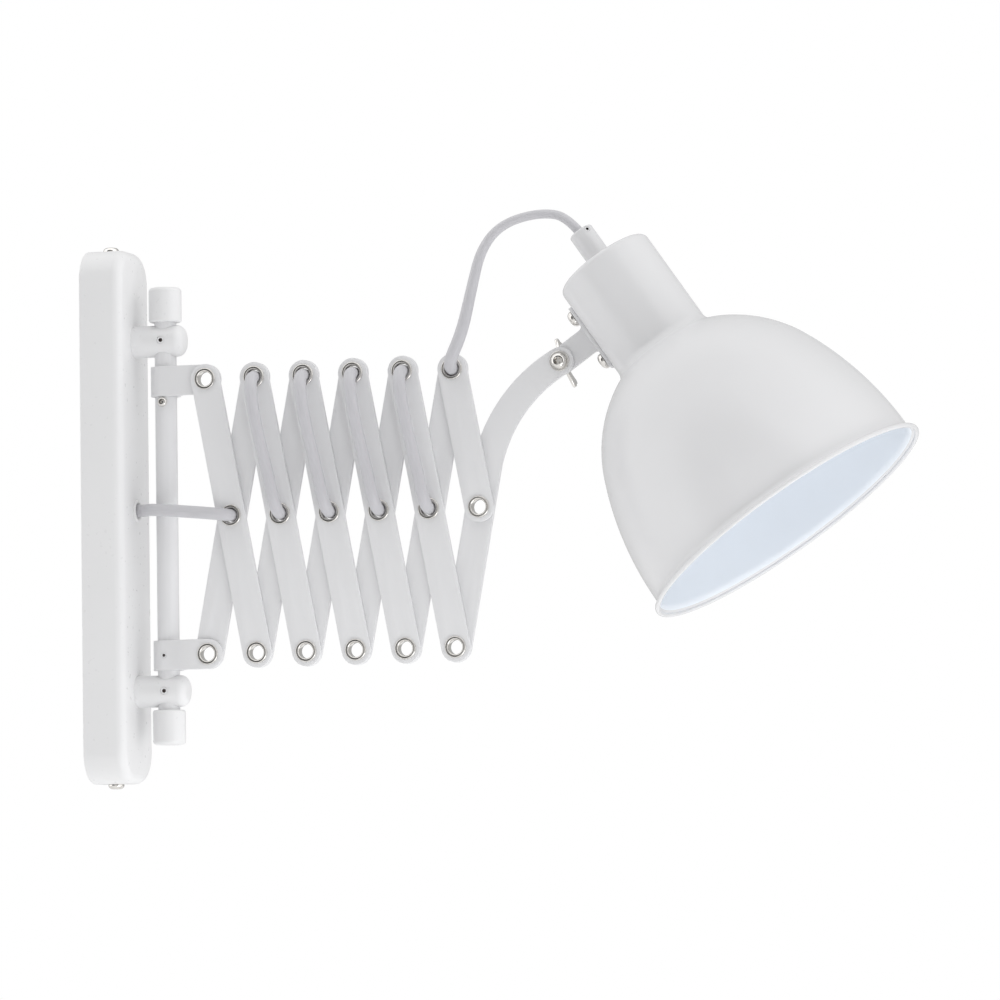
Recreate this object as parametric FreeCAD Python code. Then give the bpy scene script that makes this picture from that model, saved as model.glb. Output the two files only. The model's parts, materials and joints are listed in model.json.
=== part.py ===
import FreeCAD, Part
import math
import os

# Accordion (scissor) wall lamp: a wall box with a vertical rod, a lazy-tongs arm of flat links on hollow
# eyelets, a curved end arm and a spun shade on a tilt joint, with the lead threaded through the eyelets.
#
# Millimetres. X points out from the wall, Y sideways (the near side is -Y), Z up. The origin is the centre
# of the wall bracket on the wall. The arm is drawn half pulled in, as it hangs in use.

V = FreeCAD.Vector
UP, OUT, ACROSS = V(0, 0, 1), V(1, 0, 0), V(0, 1, 0)

# ---- driving dimensions: wall box -------------------------------------------------------------
BOX_HEIGHT = 268.0
BOX_WIDTH = 44.0
BOX_DEPTH = 22.0
BOX_WALL = 1.5
BOX_CORNER_R = 16.0
BOX_EDGE_R = 5.0
BOX_INNER_CHAMFER = 2.0
BRACKET_T = 2.0
BRACKET_WIDTH = 24.0
BRACKET_EAR_WIDTH = 12.0
BRACKET_EAR_DEPTH = 16.0
BRACKET_TAPER = 14.0
BRACKET_CLEAR = 0.3          # ear to the inside of the box
WALL_SLOT_R = 2.5
WALL_SLOT_LENGTH = 12.0
WALL_SLOT_SPACING = 120.0
SUPPLY_HOLE_R = 7.0
SUPPLY_HOLE_Z = 26.0
BOX_SCREW_X = 9.5
BOX_SCREW_R = 1.95
BOX_SCREW_LENGTH = 8.0
BOX_SCREW_HEAD_R = 4.0
BOX_SCREW_HEAD_H = 2.4
HEAD_TAPER = 0.7             # top of every screw head, as a share of its radius

# ---- driving dimensions: posts and rod --------------------------------------------------------
POST_R = 8.0
POST_END_R = 4.5
POST_GAP = 2.5               # from each strap to its post, if the links stood upright
POST_LENGTH = 26.5
POST_SCREW_R = 2.45
POST_SCREW_DEPTH = 9.0
POST_SCREW_HEAD_R = 4.5
POST_SCREW_HEAD_H = 3.0
ROD_R = 5.5
ROD_X = 38.0
ROD_IN_KNOB = 12.0
KNOB_R = 8.25
KNOB_HEIGHT = 17.5
KNOB_CHAMFER = 1.6
KNOB_GAP = 1.4               # between a post and its knob
RUNNING_FIT = 0.05           # straps on the rod
SET_SCREW_R = 2.0
SET_SCREW_SINK = 0.5
STOP_SCREW_HEAD_R = 2.5
STOP_SCREW_HEAD_H = 1.8
STOP_SCREW_R = 1.45
STOP_SCREW_LENGTH = 4.0
STOP_SCREW_GAP = 0.3         # head to the upper strap that rests over it
HOLE_SPARE = 0.5             # blind holes past their screws

# ---- driving dimensions: scissor --------------------------------------------------------------
CELLS = 5
LINK_ARM = 70.0              # from the middle eyelet of a link to an end one
LINK_WIDTH = 15.0
LINK_T = 2.0
LAYER_GAP = 0.1              # from the scissor's middle plane to each layer of links
REST_PITCH = 25.8            # from one end eyelet to the next, as the arm is drawn
FIRST_PIVOT = 24.0           # from the rod's axis to the first eyelets
SCISSOR_MID_Z = -1.45
STRAP_HEIGHT = 15.0
STRAP_LIP = 10.5             # how far the strap's folded end reaches past the rod's axis
STRAP_BEND = (8.0, 13.0)     # where the lower strap steps forward, from the rod's axis
STRAP_SCREW_R = 1.5
STRAP_SCREW_SINK = 0.2
EYELET_BORE_R = 3.55
EYELET_BARREL_R = 4.0
EYELET_PLAY = 0.1            # barrel to the link's hole, all round
EYELET_FLANGE_R = 5.4
EYELET_CROWN = 0.8
EYELET_SEAT = 0.05           # flange to link face
ARM_STRAIGHT = 18.0          # straight stretch of the curved arm past its middle eyelet
ARM_BEND_R = 76.0
ARM_BEND_DEG = 51.0
ARM_END_HALF_WIDTH = 7.0

# ---- driving dimensions: head -----------------------------------------------------------------
SHADE_TILT_DEG = 55.0        # shade axis below the horizontal
SHADE_WALL = 1.0
NECK_R = 25.25
NECK_EDGE_R = 3.5
NECK_FILLET_R = 6.0
CROWN_R = 70.0
CROWN_END = 90.0             # where the crown's arc meets the side's, from the neck's top
SIDE_R = 160.0
BODY_R = 74.4
BODY_END = 154.0             # where the flare starts, from the neck's top
FLARE_R = 4.5
FLARE_DEG = 50.0
RIM_BEAD = 2.4                # rolled hem, from face to face
TILT_ALONG = 26.5            # tilt pivot from the neck's top, along the shade's axis
TILT_ASIDE = 45.4            # tilt pivot from the shade's axis
TILT_HOLE_R = 2.55
HEAD_STRAP_WIDTH = 13.5
HEAD_STRAP_T = 2.0
FLANGE_T = 1.6
FLANGE_LENGTH = 36.0
FLANGE_WIDTH = 12.0
FLANGE_SEAT = 0.1            # flange to neck
NECK_SCREW_PITCH = 26.0
NECK_SCREW_R = 1.9
NECK_SCREW_HEAD_R = 4.0
NECK_SCREW_HEAD_H = 2.6
NECK_SCREW_REACH = 4.5
TILT_BOLT_R = 2.45
TILT_BOLT_HEAD_R = 4.0
TILT_BOLT_HEAD_H = 3.0
WASHER_R = 5.0
WASHER_T = 1.0
STACK_GAP = 0.05             # between the clamped pieces of the tilt joint
NUT_R = 4.2
NUT_HEIGHT = 5.0
WING_SPAN = 26.0
WING_T = 1.7
WING_RISE = 11.0
WING_LEAN_DEG = 21.0         # wings from the vertical, as the nut stands
BOLT_END = 1.6               # bolt past the nut
GLAND_R = 6.25
GLAND_LENGTH = 21.0
GLAND_EDGE = 1.0
NIPPLE_R = 5.0
NIPPLE_LENGTH = 9.0
THREAD_CLEAR = 0.05
GLAND_SCREW_R = 1.5
GLAND_SCREW_SINK = 0.3
GLAND_SCREW_BACK = 3.5       # from the gland's outer end
HOLDER_R = 19.0
HOLDER_TOP_R = 13.0
HOLDER_TOP_GAP = 0.3
HOLDER_SHOULDER = 7.0
HOLDER_END = 50.0
HOLDER_FLOOR = 25.0          # ledge that the screw shell stands on
CONTACT_WELL_R = 9.0
CONTACT_WELL_DEPTH = 4.0
SOCKET_R = 13.25             # inside of the lamp's screw shell
SOCKET_WALL = 0.7
SOCKET_LENGTH = 20.0
SOCKET_SEAT = 0.05
CONTACT_R = 4.0
CONTACT_T = 1.2

# ---- driving dimensions: lead and what holds it -----------------------------------------------
LEAD_R = 3.1
LEAD_SIDES = 8
LEAD_EXIT_Z = 3.0
LEAD_CORNER = V(0.31, 0.57, 0.76)    # where the first corner of the lead's section points
GROMMET_R = 4.6
GROMMET_COLLAR_R = 5.6
GROMMET_COLLAR_T = 1.0
GROMMET_BORE_R = 3.3
GROMMET_MOUTH_R = 4.1
CLAMP_SIZE = (14.4, 18.0, 6.0)
CLAMP_Z = -9.0
CLAMP_BORE_R = 3.3
TERMINAL_SIZE = (10.0, 16.0, 28.0)
TERMINAL_Z = -32.0
TERMINAL_POLES = 3
TERMINAL_ENTRY = 3.0         # square wire entry
TERMINAL_WELL_R = 1.8
TERMINAL_WELL_DEPTH = 4.0
TERMINAL_NOTCH = 1.4
EYELET_TURN_R = 5.5          # the lead's bend beside an eyelet
FRONT_RUN = ((0.0, 10.5), (24.0, 14.5), (48.0, 9.6), (LINK_ARM, 8.4))
BACK_RUN = ((0.0, 8.8), (0.5 * LINK_ARM, 10.8), (LINK_ARM, 8.8))
WALL_RUN = (
    (11.0, 0.0, -14.0),
    (11.0, 0.0, LEAD_EXIT_Z),
    (26.5, 0.0, LEAD_EXIT_Z),
    (33.0, -12.5, 2.6),
    (51.0, -16.0, 1.0),
)
HEAD_RUN = (
    (199.5, -19.5, 84.0),
    (204.0, -17.0, 106.0),
    (208.0, -13.0, 126.0),
    (218.0, -9.0, 140.5),
    (237.0, -6.0, 145.5),
)
HEAD_RUN_TURN = 28.5         # last bend and end of the head run, measured back from the neck's top
HEAD_RUN_END = 10.5

# ---- places worked out from them --------------------------------------------------------------
POST_Z = LINK_ARM + STRAP_HEIGHT / 2 + POST_GAP + POST_R
ROD_LENGTH = 2 * (POST_Z + POST_R + KNOB_GAP + ROD_IN_KNOB)
RING_IN = ROD_R + RUNNING_FIT
RING_OUT = RING_IN + LINK_T
MID_Y = -(RING_OUT + LAYER_GAP)
NEAR_Y = MID_Y - LAYER_GAP - LINK_T          # lower Y of the near layer
FAR_Y = MID_Y + LAYER_GAP                    # lower Y of the far layer
REST_ANGLE = math.asin(REST_PITCH / (2 * LINK_ARM))
LINK_DROP = LINK_ARM * math.cos(REST_ANGLE)
TOP_Z = SCISSOR_MID_Z + LINK_DROP
BOTTOM_Z = SCISSOR_MID_Z - LINK_DROP
EYELET_HOLE_R = EYELET_BARREL_R + EYELET_PLAY
STOP_Z = TOP_Z - STRAP_HEIGHT / 2 - STOP_SCREW_GAP - STOP_SCREW_HEAD_R


def top(i):
    """Place (x, z) of the i-th upper eyelet, counted from the rod."""
    return ROD_X + FIRST_PIVOT + i * REST_PITCH, TOP_Z


def bottom(i):
    return ROD_X + FIRST_PIVOT + i * REST_PITCH, BOTTOM_Z


def middle(i):
    """Place (x, z) of the eyelet where the links of cell i cross."""
    return ROD_X + FIRST_PIVOT + (i - 0.5) * REST_PITCH, SCISSOR_MID_Z


def at(place, y):
    return V(place[0], y, place[1])


# the curved arm's line: a straight run past its middle eyelet, then a bend away from the wall
ARM_ANGLE = math.pi / 2 - REST_ANGLE
BEND_START = (
    middle(CELLS + 1)[0] + ARM_STRAIGHT * math.cos(ARM_ANGLE),
    middle(CELLS + 1)[1] + ARM_STRAIGHT * math.sin(ARM_ANGLE),
)
BEND_CENTRE = (
    BEND_START[0] + ARM_BEND_R * math.sin(ARM_ANGLE),
    BEND_START[1] - ARM_BEND_R * math.cos(ARM_ANGLE),
)


def arm_point(share, aside=0.0):
    """Point of the arm's bend: share 0 is its start and 1 the tilt pivot; aside moves it off the line."""
    angle = ARM_ANGLE + math.pi / 2 - share * math.radians(ARM_BEND_DEG)
    reach = ARM_BEND_R + aside
    return BEND_CENTRE[0] + reach * math.cos(angle), BEND_CENTRE[1] + reach * math.sin(angle)


TILT = arm_point(1.0)
HEAD_Y = FAR_Y + LINK_T + LAYER_GAP + HEAD_STRAP_T / 2
SHADE_DIR = V(math.cos(math.radians(SHADE_TILT_DEG)), 0, -math.sin(math.radians(SHADE_TILT_DEG)))
SHADE_SIDE = V(-SHADE_DIR.z, 0, SHADE_DIR.x)
NECK_TOP = at(TILT, HEAD_Y) - SHADE_DIR * TILT_ALONG + SHADE_SIDE * TILT_ASIDE
CONTACT_SEAT = HOLDER_FLOOR - CONTACT_WELL_DEPTH
HEAD_PLACE = FreeCAD.Placement(NECK_TOP, FreeCAD.Rotation(SHADE_SIDE, V(0, -1, 0), SHADE_DIR, "ZXY"))


# ---- helpers ----------------------------------------------------------------------------------
def cylinder(radius, start, end):
    start, end = V(*start), V(*end)
    return Part.makeCylinder(radius, (end - start).Length, start, end - start)


def block(low, high):
    return Part.makeBox(*(high[i] - low[i] for i in range(3)), V(*low))


def turned(points, axis_from, axis):
    """Solid of revolution of a closed outline."""
    outline = Part.makePolygon([V(*p) for p in points] + [V(*points[0])])
    return Part.Face(outline).revolve(V(*axis_from), axis, 360)


def rounded(shape, radius, wanted):
    """Rounds the edges for which wanted(edge) holds."""
    return shape.makeFillet(radius, [e for e in shape.Edges if wanted(e)])


def screw(base, direction, head_r, head_h, shank_r, shank_length):
    """Screw whose tapered head stands on base, head along direction and shank against it."""
    head = Part.makeCone(head_r, HEAD_TAPER * head_r, head_h, base, direction)
    return head.fuse(cylinder(shank_r, base - direction * shank_length, base))


def placed(shape):
    """Takes a shape from the head's own frame to the lamp's."""
    shape.Placement = HEAD_PLACE
    return shape


def arc(centre, radius, start, end, to_point):
    """Arc edge between two angles in degrees, in the plane that to_point maps to space."""
    angles = (start, (start + end) / 2, end)
    ends = [
        to_point(
            centre[0] + radius * math.cos(math.radians(a)),
            centre[1] + radius * math.sin(math.radians(a)),
        )
        for a in angles
    ]
    return Part.Arc(*ends).toShape()


# ---- wall box ---------------------------------------------------------------------------------
def box_slab(inset):
    """Upright slab with round corners, inset from the box's outside; its front edges are still sharp."""
    half_width, half_height = BOX_WIDTH / 2 - inset, BOX_HEIGHT / 2 - inset
    slab = block((0, -half_width, -half_height), (BOX_DEPTH - inset, half_width, half_height))
    return rounded(slab, BOX_CORNER_R - inset, lambda e: abs(e.tangentAt(e.FirstParameter).x) > 0.99)


def front_edges(slab):
    return [e for e in slab.Edges if all(abs(v.X - slab.BoundBox.XMax) < 1e-6 for v in e.Vertexes)]


def back_plate():
    """Deep-drawn cover: rounded outside, its inside chamfered along the front edge."""
    outside, inside = box_slab(0.0), box_slab(BOX_WALL)
    shell = outside.makeFillet(BOX_EDGE_R, front_edges(outside))
    shell = shell.cut(inside.makeChamfer(BOX_INNER_CHAMFER, front_edges(inside)))
    holes = [
        cylinder(BOX_SCREW_R + THREAD_CLEAR, (BOX_SCREW_X, 0, -BOX_HEIGHT), (BOX_SCREW_X, 0, BOX_HEIGHT)),
        cylinder(GROMMET_R + THREAD_CLEAR, (BOX_DEPTH / 2, 0, LEAD_EXIT_Z), (2 * BOX_DEPTH, 0, LEAD_EXIT_Z)),
    ]
    for z in (POST_Z, -POST_Z):
        holes.append(cylinder(POST_SCREW_R + THREAD_CLEAR, (BOX_DEPTH / 2, 0, z), (2 * BOX_DEPTH, 0, z)))
    return shell.cut(holes)


def wall_bracket():
    """Steel strip on the wall, its ends bent forward as ears that take the box's screws."""
    ear_top = BOX_HEIGHT / 2 - BOX_WALL - BRACKET_CLEAR
    taper_z = ear_top - BRACKET_TAPER
    half, narrow = BRACKET_WIDTH / 2, BRACKET_EAR_WIDTH / 2
    side = [(half, taper_z), (narrow, ear_top - BRACKET_TAPER / 2), (narrow, ear_top)]
    outline = (
        [(y, z) for y, z in side]
        + [(-y, z) for y, z in reversed(side)]
        + [(-y, -z) for y, z in side]
        + [(y, -z) for y, z in reversed(side)]
    )
    corners = [V(0, y, z) for y, z in outline]
    strip = Part.Face(Part.makePolygon(corners + corners[:1])).extrude(OUT * BRACKET_T)
    for low in (ear_top - BRACKET_T, -ear_top):
        strip = strip.fuse(block((0, -narrow, low), (BRACKET_EAR_DEPTH, narrow, low + BRACKET_T)))
    cuts = [
        cylinder(BOX_SCREW_R + THREAD_CLEAR, (BOX_SCREW_X, 0, -BOX_HEIGHT), (BOX_SCREW_X, 0, BOX_HEIGHT)),
        cylinder(SUPPLY_HOLE_R, (-1, 0, SUPPLY_HOLE_Z), (BRACKET_T + 1, 0, SUPPLY_HOLE_Z)),
    ]
    reach = WALL_SLOT_LENGTH / 2 - WALL_SLOT_R
    for z in (WALL_SLOT_SPACING / 2, -WALL_SLOT_SPACING / 2):
        slot = block((-1, -WALL_SLOT_R, z - reach), (BRACKET_T + 1, WALL_SLOT_R, z + reach))
        for end in (z - reach, z + reach):
            slot = slot.fuse(cylinder(WALL_SLOT_R, (-1, 0, end), (BRACKET_T + 1, 0, end)))
        cuts.append(slot)
    return strip.cut(cuts).removeSplitter()


def plate_screws():
    return [
        screw(
            V(BOX_SCREW_X, 0, side * BOX_HEIGHT / 2),
            UP * side,
            BOX_SCREW_HEAD_R,
            BOX_SCREW_HEAD_H,
            BOX_SCREW_R,
            BOX_SCREW_LENGTH,
        )
        for side in (1, -1)
    ]


def terminal_places():
    """Centres (y, z) of the terminals' screws: two for each pole."""
    pitch = TERMINAL_SIZE[2] / TERMINAL_POLES
    rows = [TERMINAL_Z + (i - (TERMINAL_POLES - 1) / 2) * pitch for i in range(TERMINAL_POLES)]
    return [(side * TERMINAL_SIZE[1] / 4, z) for z in rows for side in (1, -1)]


def terminal_block():
    high, wide, long = TERMINAL_SIZE
    front = BRACKET_T + high
    body = block((BRACKET_T, -wide / 2, TERMINAL_Z - long / 2), (front, wide / 2, TERMINAL_Z + long / 2))
    cuts = []
    for y, z in terminal_places():
        cuts.append(cylinder(TERMINAL_WELL_R, (front - TERMINAL_WELL_DEPTH, y, z), (front + 1, y, z)))
        entry_x, outer_y = BRACKET_T + high / 3, math.copysign(wide, y)
        low = (entry_x - TERMINAL_ENTRY / 2, min(y, outer_y), z - TERMINAL_ENTRY / 2)
        cuts.append(block(low, (low[0] + TERMINAL_ENTRY, max(y, outer_y), low[2] + TERMINAL_ENTRY)))
    for i in range(1, TERMINAL_POLES):
        z = TERMINAL_Z + (i - TERMINAL_POLES / 2) * long / TERMINAL_POLES
        low, high_end = z - TERMINAL_NOTCH / 2, z + TERMINAL_NOTCH / 2
        cuts.append(block((front - TERMINAL_WELL_DEPTH, -wide, low), (front + 1, wide, high_end)))
    return body.cut(cuts)


def terminal_screws():
    front = BRACKET_T + TERMINAL_SIZE[0]
    low, high = front - TERMINAL_WELL_DEPTH, front - TERMINAL_WELL_DEPTH / 2
    radius = TERMINAL_WELL_R - THREAD_CLEAR
    return [cylinder(radius, (low, y, z), (high, y, z)) for y, z in terminal_places()]


def cord_clamp():
    """Two halves that grip the lead's sheath inside the box."""
    deep, wide, high = CLAMP_SIZE
    split = WALL_RUN[0][0]
    bore = cylinder(CLAMP_BORE_R, (split, 0, CLAMP_Z - high), (split, 0, CLAMP_Z + high))
    low, top_z = CLAMP_Z - high / 2, CLAMP_Z + high / 2
    base = block((BRACKET_T, -wide / 2, low), (split, wide / 2, top_z)).cut(bore)
    saddle = block((split, -wide / 2, low), (BRACKET_T + deep, wide / 2, top_z)).cut(bore)
    return [base, saddle]


def cable_grommet():
    inner, outer = BOX_DEPTH - BOX_WALL, BOX_DEPTH
    profile = [
        (GROMMET_BORE_R, inner - GROMMET_COLLAR_T),
        (GROMMET_COLLAR_R, inner - GROMMET_COLLAR_T),
        (GROMMET_COLLAR_R, inner),
        (GROMMET_R, inner),
        (GROMMET_R, outer),
        (GROMMET_COLLAR_R, outer),
        (GROMMET_R, outer + GROMMET_COLLAR_T),
        (GROMMET_MOUTH_R, outer + GROMMET_COLLAR_T),
        (GROMMET_BORE_R, inner),
    ]
    return turned([(x, 0, LEAD_EXIT_Z + r) for r, x in profile], (0, 0, LEAD_EXIT_Z), OUT)


# ---- posts and rod ----------------------------------------------------------------------------
def post(z):
    body = cylinder(POST_R, (BOX_DEPTH, 0, z), (BOX_DEPTH + POST_LENGTH, 0, z))
    far_end = BOX_DEPTH + POST_LENGTH
    body = rounded(body, POST_END_R, lambda e: len(e.Vertexes) == 1 and abs(e.Vertexes[0].X - far_end) < 1e-6)
    return body.cut(
        [
            cylinder(ROD_R + THREAD_CLEAR, (ROD_X, 0, z - POST_R - 1), (ROD_X, 0, z + POST_R + 1)),
            cylinder(POST_SCREW_R + THREAD_CLEAR, (BOX_DEPTH, 0, z), (BOX_DEPTH + POST_SCREW_DEPTH, 0, z)),
            cylinder(SET_SCREW_R + THREAD_CLEAR, (ROD_X, -POST_R - 1, z), (ROD_X, 0, z)),
        ]
    )


def post_screws():
    seat = BOX_DEPTH - BOX_WALL
    length = BOX_WALL + POST_SCREW_DEPTH - HOLE_SPARE
    return [
        screw(V(seat, 0, z), V(-1, 0, 0), POST_SCREW_HEAD_R, POST_SCREW_HEAD_H, POST_SCREW_R, length)
        for z in (POST_Z, -POST_Z)
    ]


def post_set_screws():
    outer, tip = -POST_R + SET_SCREW_SINK, -ROD_R - THREAD_CLEAR
    return [cylinder(SET_SCREW_R, (ROD_X, outer, z), (ROD_X, tip, z)) for z in (POST_Z, -POST_Z)]


def swing_rod():
    rod = cylinder(ROD_R, (ROD_X, 0, -ROD_LENGTH / 2), (ROD_X, 0, ROD_LENGTH / 2))
    hole_end = -ROD_R + STOP_SCREW_LENGTH + HOLE_SPARE
    hole = cylinder(STOP_SCREW_R + THREAD_CLEAR, (ROD_X, -ROD_R - 1, STOP_Z), (ROD_X, hole_end, STOP_Z))
    return rod.cut(hole)


def rod_stop_screw():
    return screw(
        V(ROD_X, -ROD_R, STOP_Z),
        V(0, -1, 0),
        STOP_SCREW_HEAD_R,
        STOP_SCREW_HEAD_H,
        STOP_SCREW_R,
        STOP_SCREW_LENGTH,
    )


def knob(side):
    start = side * (POST_Z + POST_R + KNOB_GAP)
    end = start + side * KNOB_HEIGHT
    body = cylinder(KNOB_R, (ROD_X, 0, start), (ROD_X, 0, end))
    body = body.makeChamfer(KNOB_CHAMFER, [e for e in body.Edges if len(e.Vertexes) == 1])
    rod_end = side * (ROD_LENGTH / 2 + THREAD_CLEAR)
    return body.cut(cylinder(ROD_R + THREAD_CLEAR, (ROD_X, 0, start - side), (ROD_X, 0, rod_end)))


# ---- straps on the rod ------------------------------------------------------------------------
def strap(z, tongue, height=STRAP_HEIGHT):
    """Sheet strap wrapped round the rod: a ring, a folded-back lip and a tongue given in plan."""
    low, high = z - height / 2, z + height / 2
    ring = cylinder(RING_OUT, (ROD_X, 0, low), (ROD_X, 0, high))
    lip = block((ROD_X, -RING_IN, low), (ROD_X + STRAP_LIP, -RING_IN + LINK_T, high))
    corners = [V(ROD_X + x, y, low) for x, y in tongue]
    plate = Part.Face(Part.makePolygon(corners + corners[:1])).extrude(UP * height)
    pivot_x = ROD_X + FIRST_PIVOT
    keep = block((0, -BOX_WIDTH, low), (pivot_x, BOX_WIDTH, high))
    keep = keep.fuse(cylinder(height / 2, (pivot_x, -BOX_WIDTH, z), (pivot_x, BOX_WIDTH, z)))
    body = ring.fuse([lip, plate.common(keep)])
    cuts = [
        cylinder(RING_IN, (ROD_X, 0, low - 1), (ROD_X, 0, high + 1)),
        cylinder(EYELET_HOLE_R, (pivot_x, -BOX_WIDTH, z), (pivot_x, BOX_WIDTH, z)),
    ]
    return body.cut(cuts).removeSplitter()


def upper_strap():
    end = FIRST_PIVOT + STRAP_HEIGHT
    return strap(TOP_Z, [(0, -RING_OUT), (end, -RING_OUT), (end, -RING_IN), (0, -RING_IN)])


def lower_strap():
    """The lower tongue steps forward into the near layer, in front of the first rear link."""
    end = FIRST_PIVOT + STRAP_HEIGHT
    start, stop = STRAP_BEND
    lean = (stop - start) / 8
    front, back = NEAR_Y, NEAR_Y + LINK_T
    tongue = [(0, -RING_OUT), (start, -RING_OUT), (stop, front), (end, front), (end, back)]
    tongue += [(stop + lean, back), (start + lean, -RING_IN), (0, -RING_IN)]
    screw_start, screw_end = (ROD_X, -2 * RING_OUT, BOTTOM_Z), (ROD_X, 0, BOTTOM_Z)
    return strap(BOTTOM_Z, tongue).cut(cylinder(STRAP_SCREW_R + THREAD_CLEAR, screw_start, screw_end))


def lower_strap_screw():
    outer, tip = -RING_OUT + STRAP_SCREW_SINK, -RING_IN
    return cylinder(STRAP_SCREW_R, (ROD_X, outer, BOTTOM_Z), (ROD_X, tip, BOTTOM_Z))


# ---- scissor ----------------------------------------------------------------------------------
def link(start, end, low_y, pivots):
    """Flat link with round ends between two pivots, with an eyelet hole at each of pivots."""
    half = LINK_WIDTH / 2
    a, b = at(start, low_y), at(end, low_y)
    along = (b - a).normalize()
    side = V(-along.z, 0, along.x) * half
    edges = [
        Part.LineSegment(a + side, b + side).toShape(),
        Part.Arc(b + side, b + along * half, b - side).toShape(),
        Part.LineSegment(b - side, a - side).toShape(),
        Part.Arc(a - side, a - along * half, a + side).toShape(),
    ]
    plate = Part.Face(Part.Wire(edges)).extrude(ACROSS * LINK_T)
    return plate.cut(pivot_holes(pivots))


def pivot_holes(pivots, radius=EYELET_HOLE_R):
    return [cylinder(radius, at(p, -BOX_WIDTH), at(p, BOX_WIDTH)) for p in pivots]


def front_link(i):
    """Near link of cell i: down and away from the rod."""
    return link(top(i - 1), bottom(i), NEAR_Y, [top(i - 1), middle(i), bottom(i)])


def rear_link(i):
    """Far link of cell i: up and away from the rod."""
    return link(bottom(i - 1), top(i), FAR_Y, [bottom(i - 1), middle(i), top(i)])


def front_half_link():
    return link(top(CELLS), middle(CELLS + 1), NEAR_Y, [top(CELLS), middle(CELLS + 1)])


def curved_arm():
    """Last rear link, drawn on past its middle eyelet into a bend that carries the head."""
    half, slim = LINK_WIDTH / 2, ARM_END_HALF_WIDTH
    start = at(bottom(CELLS), FAR_Y)
    along = V(math.cos(ARM_ANGLE), 0, math.sin(ARM_ANGLE))
    side = V(-along.z, 0, along.x) * half
    pivot = at(TILT, FAR_Y)
    last_angle = ARM_ANGLE - math.radians(ARM_BEND_DEG)
    last_along = V(math.cos(last_angle), 0, math.sin(last_angle))
    outer = [at(arm_point(s, half + (slim - half) * s), FAR_Y) for s in (0, 0.5, 1)]
    inner = [at(arm_point(s, -half - (slim - half) * s), FAR_Y) for s in (1, 0.5, 0)]
    edges = [
        Part.LineSegment(start + side, outer[0]).toShape(),
        Part.Arc(*outer).toShape(),
        Part.Arc(outer[2], pivot + last_along * slim, inner[0]).toShape(),
        Part.Arc(*inner).toShape(),
        Part.LineSegment(inner[2], start - side).toShape(),
        Part.Arc(start - side, start - along * half, start + side).toShape(),
    ]
    plate = Part.Face(Part.Wire(edges)).extrude(ACROSS * LINK_T)
    holes = pivot_holes([bottom(CELLS), middle(CELLS + 1)]) + pivot_holes([TILT], TILT_HOLE_R)
    return plate.cut(holes)


def eyelet(place):
    """Hollow rivet through two layers, its flanges rolled over on both faces."""
    seat = LAYER_GAP + LINK_T + EYELET_SEAT
    half = [(EYELET_BORE_R, seat + EYELET_CROWN), (EYELET_FLANGE_R, seat), (EYELET_BARREL_R, seat)]
    outline = half + [(r, -y) for r, y in reversed(half)]
    shape = turned([(r, y, 0) for r, y in outline], (0, 0, 0), ACROSS)
    shape.translate(at(place, MID_Y))
    return shape


def link_eyelets(i):
    """Eyelets that turn with near link i."""
    places = [top(i - 1), middle(i)]
    if i <= CELLS:
        places.append(bottom(i))
    return [eyelet(p) for p in places]


# ---- head, in its own frame: Z along the shade's axis from the neck's top, X away from the wall ---
def in_head(radius, along):
    return V(radius, 0, along)


def shade_surface(depth):
    """Edges of the shade's meridian, depth under the outer surface, from the neck's hole to the rim.

    The neck's inner edge and the flare are straight: both are too short to need a curve.
    """
    side_centre = (BODY_R - SIDE_R, BODY_END)
    join_angle = math.degrees(math.asin((BODY_END - CROWN_END) / SIDE_R))
    join = (
        side_centre[0] + SIDE_R * math.cos(math.radians(join_angle)),
        side_centre[1] - SIDE_R * math.sin(math.radians(join_angle)),
    )
    crown = (
        join[0] - CROWN_R * math.cos(math.radians(join_angle)),
        join[1] + CROWN_R * math.sin(math.radians(join_angle)),
    )
    fillet_r = NECK_R + NECK_FILLET_R
    run = math.sqrt((CROWN_R + NECK_FILLET_R) ** 2 - (fillet_r - crown[0]) ** 2)
    fillet = (fillet_r, crown[1] - run)
    meet = math.degrees(math.atan2(run, fillet_r - crown[0]))
    edge = (NECK_R - NECK_EDGE_R, NECK_EDGE_R)
    flare_angle, flare_r = math.radians(180 - FLARE_DEG), FLARE_R + depth
    lip = (BODY_R + FLARE_R + flare_r * math.cos(flare_angle), BODY_END + flare_r * math.sin(flare_angle))
    neck_r = NECK_R - depth
    hole_r = NIPPLE_R + THREAD_CLEAR
    if depth:
        neck_edge = Part.LineSegment(in_head(edge[0], depth), in_head(neck_r, edge[1])).toShape()
    else:
        neck_edge = arc(edge, NECK_EDGE_R, -90, 0, in_head)
    return [
        Part.LineSegment(in_head(hole_r, depth), in_head(edge[0], depth)).toShape(),
        neck_edge,
        Part.LineSegment(in_head(neck_r, edge[1]), in_head(neck_r, fillet[1])).toShape(),
        arc(fillet, NECK_FILLET_R + depth, 180, 180 - meet, in_head),
        arc(crown, CROWN_R - depth, -meet, -join_angle, in_head),
        arc(side_centre, SIDE_R - depth, -join_angle, 0, in_head),
        Part.LineSegment(in_head(BODY_R - depth, BODY_END), in_head(*lip)).toShape(),
    ]


def edge_ends(edge):
    return edge.valueAt(edge.FirstParameter), edge.valueAt(edge.LastParameter)


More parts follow.
